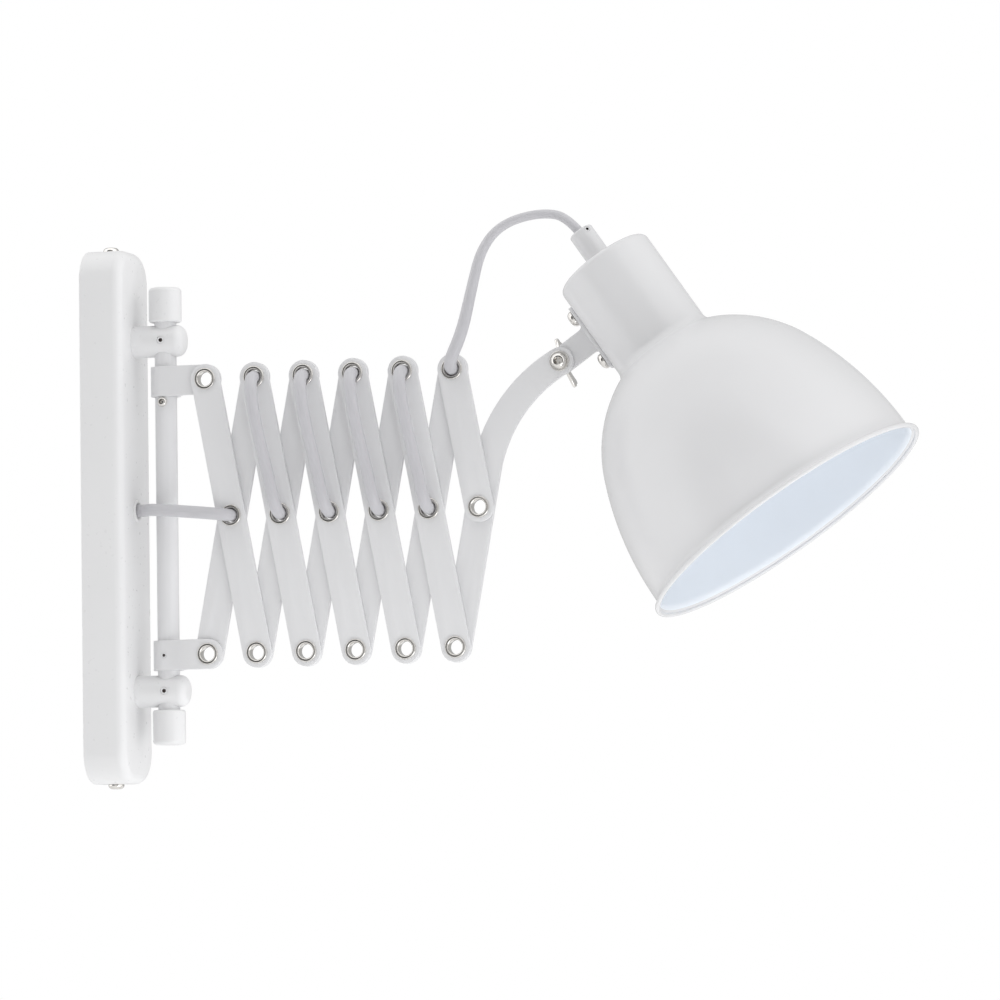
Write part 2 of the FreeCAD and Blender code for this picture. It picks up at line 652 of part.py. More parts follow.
def lamp_shade():
    """One spun piece: closed neck, crown and flared rim with a rolled hem of five flats."""
    outer, inner = shade_surface(0.0), shade_surface(SHADE_WALL)
    hole_edge = Part.LineSegment(edge_ends(outer[0])[0], edge_ends(inner[0])[0]).toShape()
    start, end = edge_ends(outer[-1])[1], edge_ends(inner[-1])[1]
    across = (end - start).normalize()
    away = V(across.z, 0, -across.x)
    swell, half_way, tip = across * (RIM_BEAD - SHADE_WALL) / 2, away * RIM_BEAD / 2, away * RIM_BEAD
    hem = [start, start - swell + half_way, start + tip, end + tip, end + swell + half_way, end]
    hem_edges = [Part.LineSegment(a, b).toShape() for a, b in zip(hem, hem[1:])]
    outline = Part.Wire(Part.__sortEdges__(outer + inner + hem_edges + [hole_edge]))
    shell = Part.Face(outline).revolve(V(0, 0, 0), UP, 360)
    reach = -NECK_R - 1
    holes = [
        cylinder(NECK_SCREW_R + THREAD_CLEAR, (reach, 0, z), (0.7 * reach, 0, z)) for z in neck_screw_places()
    ]
    return placed(shell.cut(holes))


def neck_screw_places():
    return [TILT_ALONG - NECK_SCREW_PITCH / 2, TILT_ALONG + NECK_SCREW_PITCH / 2]


def head_strap():
    """Web from the tilt pivot, ending in a flange curved to the neck and held by two screws."""
    seat_r = NECK_R + FLANGE_SEAT
    low, high = TILT_ALONG - FLANGE_LENGTH / 2, TILT_ALONG + FLANGE_LENGTH / 2
    flange = cylinder(seat_r + FLANGE_T, (0, 0, low), (0, 0, high))
    flange = flange.common(block((-2 * NECK_R, -FLANGE_WIDTH / 2, low), (0, FLANGE_WIDTH / 2, high)))
    half, width = HEAD_STRAP_T / 2, HEAD_STRAP_WIDTH / 2
    web = block((-TILT_ASIDE, -half, TILT_ALONG - width), (-NECK_R / 2, half, TILT_ALONG + width))
    web = web.fuse(cylinder(width, (-TILT_ASIDE, -half, TILT_ALONG), (-TILT_ASIDE, half, TILT_ALONG)))
    cuts = [
        cylinder(seat_r, (0, 0, low - 1), (0, 0, high + 1)),
        cylinder(TILT_HOLE_R, (-TILT_ASIDE, -NECK_R, TILT_ALONG), (-TILT_ASIDE, NECK_R, TILT_ALONG)),
    ]
    for z in neck_screw_places():
        cuts.append(cylinder(NECK_SCREW_R + THREAD_CLEAR, (-2 * NECK_R, 0, z), (0, 0, z)))
    return placed(flange.fuse(web).cut(cuts).removeSplitter())


def neck_screws():
    seat = -(NECK_R + FLANGE_SEAT + FLANGE_T)
    return [
        placed(
            screw(
                V(seat, 0, z),
                V(-1, 0, 0),
                NECK_SCREW_HEAD_R,
                NECK_SCREW_HEAD_H,
                NECK_SCREW_R,
                NECK_SCREW_REACH,
            )
        )
        for z in neck_screw_places()
    ]


def cable_gland():
    """Metal sleeve on the neck's top; its threaded nipple clamps the lamp holder inside."""
    profile = [
        (GROMMET_BORE_R, -GLAND_LENGTH),
        (GLAND_R - GLAND_EDGE, -GLAND_LENGTH),
        (GLAND_R, -GLAND_LENGTH + GLAND_EDGE),
        (GLAND_R, 0),
        (NIPPLE_R, 0),
        (NIPPLE_R, NIPPLE_LENGTH),
        (GROMMET_BORE_R, NIPPLE_LENGTH),
    ]
    body = turned([(r, 0, z) for r, z in profile], (0, 0, 0), UP)
    return placed(body.cut(gland_screw_bore(GLAND_SCREW_R + THREAD_CLEAR, 2 * GLAND_R)))


def gland_screw_bore(radius, outer):
    """Cylinder through the gland's wall, up and towards the near side."""
    z = -GLAND_LENGTH + GLAND_SCREW_BACK
    direction = V(1, 1, 0).normalize()
    start = V(0, 0, z) + direction * GROMMET_BORE_R
    return Part.makeCylinder(radius, outer - GROMMET_BORE_R, start, direction)


def gland_screw():
    return placed(gland_screw_bore(GLAND_SCREW_R, GLAND_R - GLAND_SCREW_SINK))


def lamp_holder():
    """Insulating body of the lamp socket, seated under the neck's top."""
    top_z = SHADE_WALL + HOLDER_TOP_GAP
    bore = NIPPLE_R + THREAD_CLEAR
    nipple_end = NIPPLE_LENGTH + HOLDER_TOP_GAP
    well = SOCKET_R + SOCKET_WALL + SOCKET_SEAT
    profile = [
        (bore, top_z),
        (HOLDER_TOP_R, top_z),
        (HOLDER_R, top_z + HOLDER_SHOULDER),
        (HOLDER_R, HOLDER_END),
        (well, HOLDER_END),
        (well, HOLDER_FLOOR),
        (CONTACT_WELL_R, HOLDER_FLOOR),
        (CONTACT_WELL_R, CONTACT_SEAT),
        (0, CONTACT_SEAT),
        (0, nipple_end),
        (bore, nipple_end),
    ]
    return placed(turned([(r, 0, z) for r, z in profile], (0, 0, 0), UP))


def holder_sleeve():
    start = HOLDER_FLOOR + 2 * SOCKET_SEAT
    end = start + SOCKET_LENGTH
    sleeve = cylinder(SOCKET_R + SOCKET_WALL, (0, 0, start), (0, 0, end))
    return placed(sleeve.cut(cylinder(SOCKET_R, (0, 0, start - 1), (0, 0, end + 1))))


def centre_contact():
    """Disc in the holder's well with a raised tongue that stays under the screw shell."""
    disc = cylinder(CONTACT_R, (0, 0, CONTACT_SEAT), (0, 0, CONTACT_SEAT + CONTACT_T))
    half = CONTACT_R / 3
    tongue = block((-half, -half, CONTACT_SEAT), (half, half, CONTACT_SEAT + 3 * CONTACT_T))
    return placed(disc.fuse(tongue).removeSplitter())


# ---- tilt joint: screw, washers and wing nut clamp the arm and the head's strap -----------------
TILT_NEAR_Y = FAR_Y - STACK_GAP
TILT_FAR_Y = HEAD_Y + HEAD_STRAP_T / 2 + STACK_GAP
NUT_Y = TILT_FAR_Y + WASHER_T + STACK_GAP


def tilt_bolt():
    seat = TILT_NEAR_Y - WASHER_T
    length = NUT_Y + NUT_HEIGHT + BOLT_END - seat
    return screw(at(TILT, seat), V(0, -1, 0), TILT_BOLT_HEAD_R, TILT_BOLT_HEAD_H, TILT_BOLT_R, length)


def tilt_washers():
    washers = []
    for low in (TILT_NEAR_Y - WASHER_T, TILT_FAR_Y):
        washer = cylinder(WASHER_R, at(TILT, low), at(TILT, low + WASHER_T))
        washers.append(washer.cut(cylinder(TILT_BOLT_R + THREAD_CLEAR, at(TILT, low - 1), at(TILT, low + 3))))
    return washers


def wing_nut():
    """Round body with two thin ears that widen away from it."""
    body = cylinder(NUT_R, (0, 0, 0), (0, NUT_HEIGHT, 0))
    span = WING_SPAN / 2
    ear = [(0.6 * NUT_R, 0.8), (0.55 * span, 1.6), (span, 0.45 * WING_RISE), (span, 0.85 * WING_RISE)]
    ear += [(0.86 * span, WING_RISE), (0.66 * span, 0.86 * WING_RISE), (0.7 * NUT_R, NUT_HEIGHT)]
    for side in (1, -1):
        corners = [V(-WING_T / 2, y, side * r) for r, y in ear]
        body = body.fuse(Part.Face(Part.makePolygon(corners + corners[:1])).extrude(OUT * WING_T))
    body = body.cut(cylinder(TILT_BOLT_R + THREAD_CLEAR, (0, -1, 0), (0, 2 * WING_RISE, 0))).removeSplitter()
    body.rotate(V(0, 0, 0), ACROSS, -WING_LEAN_DEG)
    body.translate(at(TILT, NUT_Y))
    return body


# ---- lead -------------------------------------------------------------------------------------
def bend_radius(before, corner, after, turn_r):
    """Largest tangent arc that the two runs allow, or the given one beside an eyelet."""
    a, b = before - corner, after - corner
    half_turn = (math.pi - a.getAngle(b)) / 2
    return turn_r if turn_r else 0.45 * min(a.Length, b.Length) / math.tan(half_turn)


def lead(name, route, tight=()):
    """Tube along straight runs joined by tangent arcs; tight lists the corners beside eyelets."""
    points = [V(*p) for p in route]
    edges, radii, here = [], [], points[0]
    for i in range(1, len(points) - 1):
        before, corner, after = points[i - 1 : i + 2]
        radius = bend_radius(before, corner, after, EYELET_TURN_R if i in tight else None)
        a, b = (before - corner).normalize(), (after - corner).normalize()
        half_turn = (math.pi - a.getAngle(b)) / 2
        reach = radius * math.tan(half_turn)
        first, last = corner + a * reach, corner + b * reach
        centre = corner + (a + b).normalize() * (radius / math.cos(half_turn))
        middle_point = centre + (corner - centre).normalize() * radius
        edges.append(Part.LineSegment(here, first).toShape())
        edges.append(Part.Arc(first, middle_point, last).toShape())
        radii.append(round(radius, 1))
        here = last
    edges.append(Part.LineSegment(here, points[-1]).toShape())
    path = Part.Wire(edges)
    along = (points[1] - points[0]).normalize()
    side = along.cross(LEAD_CORNER).normalize() * LEAD_R
    turn = 360 / LEAD_SIDES
    ring = [points[0] + FreeCAD.Rotation(along, turn * k).multVec(side) for k in range(LEAD_SIDES)]
    tube = path.makePipeShell([Part.makePolygon(ring + ring[:1])], True, False)
    section = Part.Face(Part.makePolygon(ring + ring[:1])).Area
    share = tube.Volume / (section * path.Length)
    print(name, "length", round(path.Length, 1), "radii", radii)
    print(name, "volume over section times length", round(share, 4))
    return tube


def along_link(start, end, run, side):
    """Route beside a link: out of the bore at start, along the link and into the bore at end."""
    a, b = at(start, MID_Y), at(end, MID_Y)
    along = (b - a).normalize()
    out = V(0, side, 0)
    return [a] + [a + along * w + out * h for w, h in run] + [b]


def front_lead(i):
    """Near-side run from upper eyelet i down to the middle eyelet of the next cell."""
    route = along_link(top(i), middle(i + 1), FRONT_RUN, -1)
    return lead("cable_front_%d" % i, route, (1, len(FRONT_RUN)))


def back_lead(i):
    """Far-side run from the middle eyelet of cell i up to its upper eyelet."""
    route = along_link(middle(i), top(i), BACK_RUN, 1)
    return lead("cable_back_%d" % i, route, (1, len(BACK_RUN)))


def wall_lead():
    """From the clamp in the box, out through the grommet and past the rod into the first eyelet."""
    bore = at(middle(1), MID_Y)
    route = list(WALL_RUN) + [bore - ACROSS * FRONT_RUN[-1][1], bore]
    return lead("cable_wall_run", route, (len(route) - 2,))


def head_lead():
    """From the last upper eyelet in a free loop to the gland on the neck."""
    bore = at(top(CELLS), MID_Y)
    ends = [NECK_TOP - SHADE_DIR * back for back in (HEAD_RUN_TURN, HEAD_RUN_END)]
    route = [bore, bore - ACROSS * FRONT_RUN[0][1]] + list(HEAD_RUN) + ends
    return lead("cable_head_loop", route, (1,))


# ---- all nodes ----------------------------------------------------------------------------------
nodes = {
    "wall_bracket": wall_bracket(),
    "back_plate": back_plate(),
    "plate_screws": plate_screws(),
    "terminal_block": terminal_block(),
    "terminal_screws": terminal_screws(),
    "cord_clamp": cord_clamp(),
    "cable_grommet": cable_grommet(),
    "upper_post": post(POST_Z),
    "lower_post": post(-POST_Z),
    "post_screws": post_screws(),
    "post_set_screws": post_set_screws(),
    "swing_rod": swing_rod(),
    "upper_knob": knob(1),
    "lower_knob": knob(-1),
    "rod_stop_screw": rod_stop_screw(),
    "upper_strap": upper_strap(),
    "lower_strap": lower_strap(),
    "lower_strap_screw": lower_strap_screw(),
    "lower_strap_eyelet": eyelet(bottom(0)),
    "front_half_link": front_half_link(),
    "curved_arm": curved_arm(),
    "lamp_shade": lamp_shade(),
    "head_strap": head_strap(),
    "neck_screws": neck_screws(),
    "cable_gland": cable_gland(),
    "gland_screw": gland_screw(),
    "lamp_holder": lamp_holder(),
    "holder_sleeve": holder_sleeve(),
    "centre_contact": centre_contact(),
    "tilt_bolt": tilt_bolt(),
    "tilt_washers": tilt_washers(),
    "wing_nut": wing_nut(),
    "cable_wall_run": wall_lead(),
    "cable_head_loop": head_lead(),
}
for cell in range(1, CELLS + 1):
    nodes["front_link_%d" % cell] = front_link(cell)
    nodes["rear_link_%d" % cell] = rear_link(cell)
    nodes["cable_back_%d" % cell] = back_lead(cell)
for cell in range(1, CELLS):
    nodes["cable_front_%d" % cell] = front_lead(cell)
for cell in range(1, CELLS + 2):
    nodes["eyelets_%d" % cell] = link_eyelets(cell)

os.makedirs("parts", exist_ok=True)
for name, shape in nodes.items():
    whole = Part.makeCompound(shape) if isinstance(shape, list) else shape
    whole.exportStep("parts/%s.step" % name)
print(len(nodes), "nodes")
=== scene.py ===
import json
import math

import bmesh
import bpy
from mathutils import Matrix, Vector

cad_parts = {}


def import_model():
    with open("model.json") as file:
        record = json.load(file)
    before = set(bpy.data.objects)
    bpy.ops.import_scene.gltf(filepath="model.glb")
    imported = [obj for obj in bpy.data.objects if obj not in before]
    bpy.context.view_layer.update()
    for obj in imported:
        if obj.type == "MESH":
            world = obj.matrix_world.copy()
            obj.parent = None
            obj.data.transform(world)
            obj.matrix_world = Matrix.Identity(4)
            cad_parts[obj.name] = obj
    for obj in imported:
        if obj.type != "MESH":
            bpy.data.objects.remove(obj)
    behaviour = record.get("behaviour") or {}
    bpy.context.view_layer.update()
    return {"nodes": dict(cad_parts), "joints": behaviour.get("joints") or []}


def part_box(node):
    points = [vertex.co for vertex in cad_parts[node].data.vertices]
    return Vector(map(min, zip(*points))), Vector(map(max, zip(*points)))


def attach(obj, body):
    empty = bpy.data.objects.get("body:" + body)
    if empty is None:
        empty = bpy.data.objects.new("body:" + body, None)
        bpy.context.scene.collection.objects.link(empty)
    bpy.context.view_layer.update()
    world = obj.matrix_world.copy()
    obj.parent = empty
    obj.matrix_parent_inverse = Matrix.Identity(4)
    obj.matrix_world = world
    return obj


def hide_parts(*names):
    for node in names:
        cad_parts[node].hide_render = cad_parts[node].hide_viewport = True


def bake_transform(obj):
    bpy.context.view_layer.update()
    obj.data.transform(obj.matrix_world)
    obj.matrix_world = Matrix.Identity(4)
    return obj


# Looks of the accordion wall lamp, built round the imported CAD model. Sizes are in millimetres and are turned
# into metres where a mesh is made. X points out from the wall, the near side is -Y, Z is up, as in the CAD.

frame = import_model()
MM = 0.001
joint_at = {joint["name"]: Vector(joint["pos_m"]) / MM for joint in frame["joints"]}

# ---- places and sizes, those that the frame doesn't give --------------------------------------
CELLS = 5
FIRST = joint_at["arm_extend"]
CROSS = joint_at["cross_1"]
BOTTOM = joint_at["bottom_1"]
TILT = joint_at["head_tilt"]
PITCH = joint_at["cross_2"].x - CROSS.x
ROD_X = joint_at["arm_swing"].x
MID_Y = FIRST.y
LAYER_GAP = 0.1
LINK_T = 2.0
LINK_WIDTH = 15.0
NEAR_Y = MID_Y - LAYER_GAP - LINK_T
FAR_Y = MID_Y + LAYER_GAP
HOLE_R = 4.1
EDGE = 0.3                    # rounding of sheet edges
BOX_HEIGHT, BOX_WIDTH, BOX_DEPTH, BOX_WALL = 268.0, 44.0, 22.0, 1.5
BOX_CORNER_R, BOX_EDGE_R = 16.0, 5.0
POST_Z, POST_R, POST_LENGTH, POST_END_R = 88.0, 8.0, 26.5, 4.5
ROD_R, ROD_LENGTH = 5.5, 218.8
KNOB_R, KNOB_HEIGHT, KNOB_GAP, KNOB_EDGE_R = 8.25, 17.5, 1.4, 2.0
RING_IN, RING_OUT = 5.55, 7.55
STRAP_HEIGHT, STRAP_LIP, STRAP_BEND = 15.0, 10.5, (8.0, 13.0)
ARM_BEND_R, ARM_BEND_DEG, ARM_STRAIGHT, ARM_END_HALF_WIDTH = 76.0, 51.0, 18.0, 7.0
LEAD_R = 3.1

# the shade, along its axis from the neck's top; its neck's edge is as sharp as the photograph shows it
SHADE_TILT_DEG = 55.0
TILT_ALONG, TILT_ASIDE = 26.5, 45.4
NECK_R, NECK_EDGE_R, NECK_FILLET_R = 25.25, 2.8, 6.0
CROWN_R, CROWN_END, SIDE_R = 70.0, 90.0, 160.0
BODY_R, BODY_END, FLARE_R, FLARE_DEG, BEAD_R = 74.4, 154.0, 4.5, 50.0, 1.2
SHADE_WALL = 1.0

SHADE_DIR = Vector((math.cos(math.radians(SHADE_TILT_DEG)), 0, -math.sin(math.radians(SHADE_TILT_DEG))))
SHADE_SIDE = Vector((-SHADE_DIR.z, 0, SHADE_DIR.x))
NECK_TOP = Vector(TILT) - SHADE_DIR * TILT_ALONG + SHADE_SIDE * TILT_ASIDE
HEAD_Y = TILT.y

# the lead's routes, as in the CAD
FRONT_RUN = ((0.0, 10.5), (24.0, 14.5), (48.0, 9.6), (70.0, 8.4))
BACK_RUN = ((0.0, 8.8), (35.0, 10.8), (70.0, 8.8))
WALL_RUN = (
    (11.0, 0.0, -14.0),
    (11.0, 0.0, 3.0),
    (26.5, 0.0, 3.0),
    (33.0, -12.5, 2.6),
    (51.0, -16.0, 1.0),
)
HEAD_RUN = (
    (199.5, -19.5, 84.0),
    (204.0, -17.0, 106.0),
    (208.0, -13.0, 126.0),
    (218.0, -9.0, 138.4),
    (237.0, -6.0, 143.3),
)
HEAD_RUN_ENDS = (28.5, 10.5)  # back from the neck's top
WALL_SPLIT_X = 42.0           # where the wall run has passed the rod
HEAD_SPLIT_Z = 98.0           # where the head loop goes over from the arm to the head


def top(i):
    return Vector((FIRST.x + i * PITCH, 0, FIRST.z))


def bottom(i):
    return Vector((FIRST.x + i * PITCH, 0, BOTTOM.z))


def middle(i):
    return Vector((CROSS.x + (i - 1) * PITCH, 0, CROSS.z))


# ---- materials ----------------------------------------------------------------------------------
def new_material(name):
    material = bpy.data.materials.new(name)
    material.use_nodes = True
    nodes, links = material.node_tree.nodes, material.node_tree.links
    return material, nodes, links, nodes["Principled BSDF"]


def noise(nodes, links, scale, detail):
    """Noise texture in the piece's own metres."""
    place = nodes.new("ShaderNodeTexCoord")
    texture = nodes.new("ShaderNodeTexNoise")
    texture.inputs["Scale"].default_value = scale
    texture.inputs["Detail"].default_value = detail
    links.new(place.outputs["Object"], texture.inputs["Vector"])
    return texture


def ramp(nodes, links, source, low, high):
    """Colour ramp between two colours or greys."""
    node = nodes.new("ShaderNodeValToRGB")
    node.color_ramp.elements[0].position = 0.3
    node.color_ramp.elements[1].position = 0.7
    node.color_ramp.elements[0].color = (*low, 1)
    node.color_ramp.elements[1].color = (*high, 1)
    links.new(source, node.inputs["Fac"])
    return node.outputs["Color"]


def spread(nodes, links, source, low, high):
    """Maps a 0 to 1 value to a range."""
    node = nodes.new("ShaderNodeMapRange")
    node.inputs["To Min"].default_value = low
    node.inputs["To Max"].default_value = high
    links.new(source, node.inputs["Value"])
    return node.outputs["Result"]


def bump(nodes, links, shader, height, strength, distance):
    node = nodes.new("ShaderNodeBump")
    node.inputs["Strength"].default_value = strength
    node.inputs["Distance"].default_value = distance
    links.new(height, node.inputs["Height"])
    links.new(node.outputs["Normal"], shader.inputs["Normal"])


def powder_coat(name, tone, roughness):
    """Satin powder coat: faint cloudiness, orange peel and a little change of gloss."""
    material, nodes, links, shader = new_material(name)
    clouds = noise(nodes, links, 28.0, 3.0)
    low = tuple(c * 0.985 for c in tone)
    links.new(ramp(nodes, links, clouds.outputs["Fac"], low, tone), shader.inputs["Base Color"])
    peel = noise(nodes, links, 420.0, 1.0)
    gloss = spread(nodes, links, peel.outputs["Fac"], roughness - 0.02, roughness + 0.03)
    links.new(gloss, shader.inputs["Roughness"])
    bump(nodes, links, shader, peel.outputs["Fac"], 0.012, 0.0002)
    shader.inputs["Specular IOR Level"].default_value = 0.45
    return material


def metal(name, tone, roughness, grain):
    """Plated metal with fine scratches."""
    material, nodes, links, shader = new_material(name)
    shader.inputs["Metallic"].default_value = 1.0
    patches = noise(nodes, links, grain, 4.0)
    low = tuple(c * 0.86 for c in tone)
    links.new(ramp(nodes, links, patches.outputs["Fac"], low, tone), shader.inputs["Base Color"])
    fine = noise(nodes, links, grain * 6, 2.0)
    gloss = spread(nodes, links, fine.outputs["Fac"], roughness * 0.7, roughness * 1.4)
    links.new(gloss, shader.inputs["Roughness"])
    bump(nodes, links, shader, fine.outputs["Fac"], 0.05, 0.0001)
    return material


def sheath(name, tone):
    """Soft grey sheath of the lead, finely streaked along it; its UV map runs round and along, in mm."""
    material, nodes, links, shader = new_material(name)
    place = nodes.new("ShaderNodeTexCoord")
    stretch = nodes.new("ShaderNodeMapping")
    stretch.inputs["Scale"].default_value = (1.0, 0.06, 1.0)
    links.new(place.outputs["UV"], stretch.inputs["Vector"])
    streaks = nodes.new("ShaderNodeTexNoise")
    streaks.inputs["Scale"].default_value = 2.4
    streaks.inputs["Detail"].default_value = 3.0
    links.new(stretch.outputs["Vector"], streaks.inputs["Vector"])
    low = tuple(c * 0.91 for c in tone)
    links.new(ramp(nodes, links, streaks.outputs["Fac"], low, tone), shader.inputs["Base Color"])
    skin = noise(nodes, links, 1400.0, 2.0)
    links.new(spread(nodes, links, skin.outputs["Fac"], 0.42, 0.56), shader.inputs["Roughness"])
    bump(nodes, links, shader, streaks.outputs["Fac"], 0.2, 0.0003)
    shader.inputs["Sheen Weight"].default_value = 0.15
    shader.inputs["Sheen Roughness"].default_value = 0.5
    return material


def moulding(name, tone, roughness=0.45):
    material, nodes, links, shader = new_material(name)
    flow = noise(nodes, links, 90.0, 3.0)
    low = tuple(c * 0.94 for c in tone)
    links.new(ramp(nodes, links, flow.outputs["Fac"], low, tone), shader.inputs["Base Color"])
    texture = noise(nodes, links, 2200.0, 1.0)
    gloss = spread(nodes, links, texture.outputs["Fac"], roughness, roughness + 0.12)
    links.new(gloss, shader.inputs["Roughness"])
    bump(nodes, links, shader, texture.outputs["Fac"], 0.15, 0.0001)
    return material


MATERIALS = {
    "white_paint": powder_coat("white_powder_coat", (0.815, 0.815, 0.82), 0.28),
    "grey_paint": powder_coat("grey_powder_coat", (0.78, 0.78, 0.79), 0.34),
    "shade_paint": powder_coat("shade_enamel", (0.74, 0.74, 0.75), 0.24),
    # the shade's inside: a lighter, bluish copy of its paint, painted light standing in for the light inside
    # the shade
    "inside_painted_light": powder_coat("shade_inside_painted_light", (0.81, 0.85, 0.90), 0.42),
    "nickel": metal("nickel_plate", (0.78, 0.76, 0.73), 0.10, 240.0),
    # nearly black metal for grub screw sockets: painted shade, standing in for the shade down in the hole
    "socket_painted_shade": metal("socket_steel_painted_shade", (0.20, 0.17, 0.16), 0.45, 240.0),
    "zinc_steel": metal("zinc_plate", (0.62, 0.64, 0.66), 0.34, 160.0),
    "lead_sheath": sheath("lead_sheath_pvc", (0.585, 0.58, 0.605)),
    "pale_plastic": moulding("pale_moulding", (0.78, 0.78, 0.76)),
    "white_plastic": moulding("white_moulding", (0.80, 0.80, 0.80)),
    "brass_parts": metal("brass_plate", (0.80, 0.62, 0.30), 0.22, 200.0),
}


# ---- mesh helpers -------------------------------------------------------------------------------
def link_object(name, mesh):
    obj = bpy.data.objects.new(name, mesh)
    bpy.context.scene.collection.objects.link(obj)
    return obj


def tidy(obj, smooth_deg=32.0, weld=0.002):
    """Outward normals, smooth shading and sharp edges past an angle."""
    work = bmesh.new()
    work.from_mesh(obj.data)
    bmesh.ops.remove_doubles(work, verts=work.verts, dist=weld * MM)
    bmesh.ops.recalc_face_normals(work, faces=work.faces)
    work.to_mesh(obj.data)
    work.free()
    obj.data.shade_smooth()
    obj.data.set_sharp_from_angle(angle=math.radians(smooth_deg))
    return obj


def built(name, points, faces, smooth_deg=32.0):
    mesh = bpy.data.meshes.new(name)
    mesh.from_pydata([Vector(p) * MM for p in points], [], faces)
    return tidy(link_object(name, mesh), smooth_deg)


def bow(centre, radius, start, end, steps=8):
    """Points along an arc, angles in degrees."""
    angles = [math.radians(start + (end - start) * k / steps) for k in range(steps + 1)]
    return [(centre[0] + radius * math.cos(a), centre[1] + radius * math.sin(a)) for a in angles]


def axes_for(direction):
    """Two unit vectors square to direction."""
    along = Vector(direction).normalized()
    side = along.orthogonal().normalized()
    return along, side, along.cross(side)


def lathe(name, profile, origin, direction, sides=64, smooth_deg=32.0):
    """Closed outline of (radius, height) turned about an axis."""
    along, side, up = axes_for(direction)
    origin = Vector(origin)
    points, rings = [], []
    for radius, height in profile:
        count = 1 if radius < 1e-6 else sides
        rings.append([len(points) + k for k in range(count)])
        for k in range(count):
            angle = 2 * math.pi * k / sides
            points.append(origin + along * height + (side * math.cos(angle) + up * math.sin(angle)) * radius)
    faces = []
    for first, second in zip(rings, rings[1:] + rings[:1]):
        if len(first) == 1 and len(second) == 1:
            continue
        for k in range(sides):
            corners = [first[k % len(first)], first[(k + 1) % len(first)]]
            corners += [second[(k + 1) % len(second)], second[k % len(second)]]
            faces.append(list(dict.fromkeys(corners)))
    return built(name, points, faces, smooth_deg)


def applied(obj):
    """Turns a curve or an object with modifiers into a plain mesh object of the same name."""
    bpy.context.view_layer.update()
    ready = obj.evaluated_get(bpy.context.evaluated_depsgraph_get())
    mesh = bpy.data.meshes.new_from_object(ready)
    mesh.transform(obj.matrix_world)
    name = obj.name
    bpy.data.objects.remove(obj)
    result = link_object("work", mesh)
    result.name = name
    mesh.name = name
    return result


def combine(obj, tools, operation="DIFFERENCE"):
    """Boolean of obj with each tool, which it uses up."""
    for tool in tools:
        modifier = obj.modifiers.new("cut", "BOOLEAN")
        modifier.operation = operation
        modifier.solver = "EXACT"
        modifier.object = tool
    result = applied(obj)
    for tool in tools:
        bpy.data.objects.remove(tool)
    return tidy(result)


IN_LINK_PLANE = Matrix(((1, 0, 0, 0), (0, 0, -1, 0), (0, 1, 0, 0), (0, 0, 0, 1)))


def plate(name, outline, holes, thickness, place, edge=EDGE):
    """Flat plate with rounded edges; holes are (x, y, radius) in the outline's plane."""
    curve = bpy.data.curves.new(name, "CURVE")
    curve.dimensions = "2D"
    curve.fill_mode = "BOTH"
    curve.extrude = (thickness / 2 - edge) * MM
    curve.bevel_depth = edge * MM
    curve.bevel_resolution = 2
    curve.offset = -edge * MM
    loops = [list(outline)]
    for x, y, radius in holes:
        loops.append(bow((x, y), radius, 360, 0, 48)[:-1])
    for loop in loops:
        spline = curve.splines.new("POLY")
        spline.points.add(len(loop) - 1)
        for point, (x, y) in zip(spline.points, loop):
            point.co = (x * MM, y * MM, 0, 1)
        spline.use_cyclic_u = True
    obj = link_object(name, curve)
    obj.matrix_world = place
    return tidy(applied(obj), 35.0)


def slab_place(matrix, offset):
    return Matrix.Translation(Vector(offset) * MM) @ matrix


def rod(name, radius, start, end, sides=48):
    start, end = Vector(start), Vector(end)
    length = (end - start).length
    return lathe(name, [(0, 0), (radius, 0), (radius, length), (0, length)], start, end - start, sides)


def joined(name, parts):
    """One object from several, in place."""
    work = bmesh.new()
    for part in parts:
        work.from_mesh(part.data)
    mesh = bpy.data.meshes.new(name)
    work.to_mesh(mesh)
    work.free()
    for part in parts:
        bpy.data.objects.remove(part)
    obj = link_object("work", mesh)
    obj.name = name
    return tidy(obj)


def dress(obj, body, slot, *nodes, finish=None):
    """Gives a piece its finish, hides the CAD nodes that it stands in for and parents it to the body that it
    rides on.
    """
    obj.data.materials.clear()
    obj.data.materials.append(MATERIALS[finish or slot])
    if nodes:
        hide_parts(*nodes)
    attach(obj, body)
    return obj


# ---- screws -------------------------------------------------------------------------------------
def pan_screw(name, base, direction, head_r, head_h, shank_r, shank_length):
    """Pan head with a cross recess, on a plain shank."""
    dome = 0.8 * head_h
    profile = [(0, -shank_length), (shank_r - 0.3, -shank_length), (shank_r, -shank_length + 0.3)]
    profile += [(shank_r, 0)]
    profile += [(head_r - 0.2, 0), (head_r, 0.2)]
    profile += bow((head_r - dome, head_h - dome), dome, 0, 90, 8)
    profile += [(0, head_h)]
    screw = lathe(name, profile, base, direction, 40)
    along, side, up = axes_for(direction)
    base = Vector(base)
    arm, slot, depth = 0.55 * head_r, 0.14 * head_r, 0.6 * head_h
    tools = []
    for a, b in ((side, up), (up, side)):
        corners = []
        for height, reach in ((head_h - depth, 0.45 * arm), (head_h + 1, 1.1 * arm)):
            for p, q in ((-1, -1), (1, -1), (1, 1), (-1, 1)):
                corners.append(base + along * height + a * (p * reach) + b * (q * slot))
        faces = [(3, 2, 1, 0), (4, 5, 6, 7)] + [(k, (k + 1) % 4, (k + 1) % 4 + 4, k + 4) for k in range(4)]
        tools.append(built("recess", corners, faces))
    return combine(screw, tools)


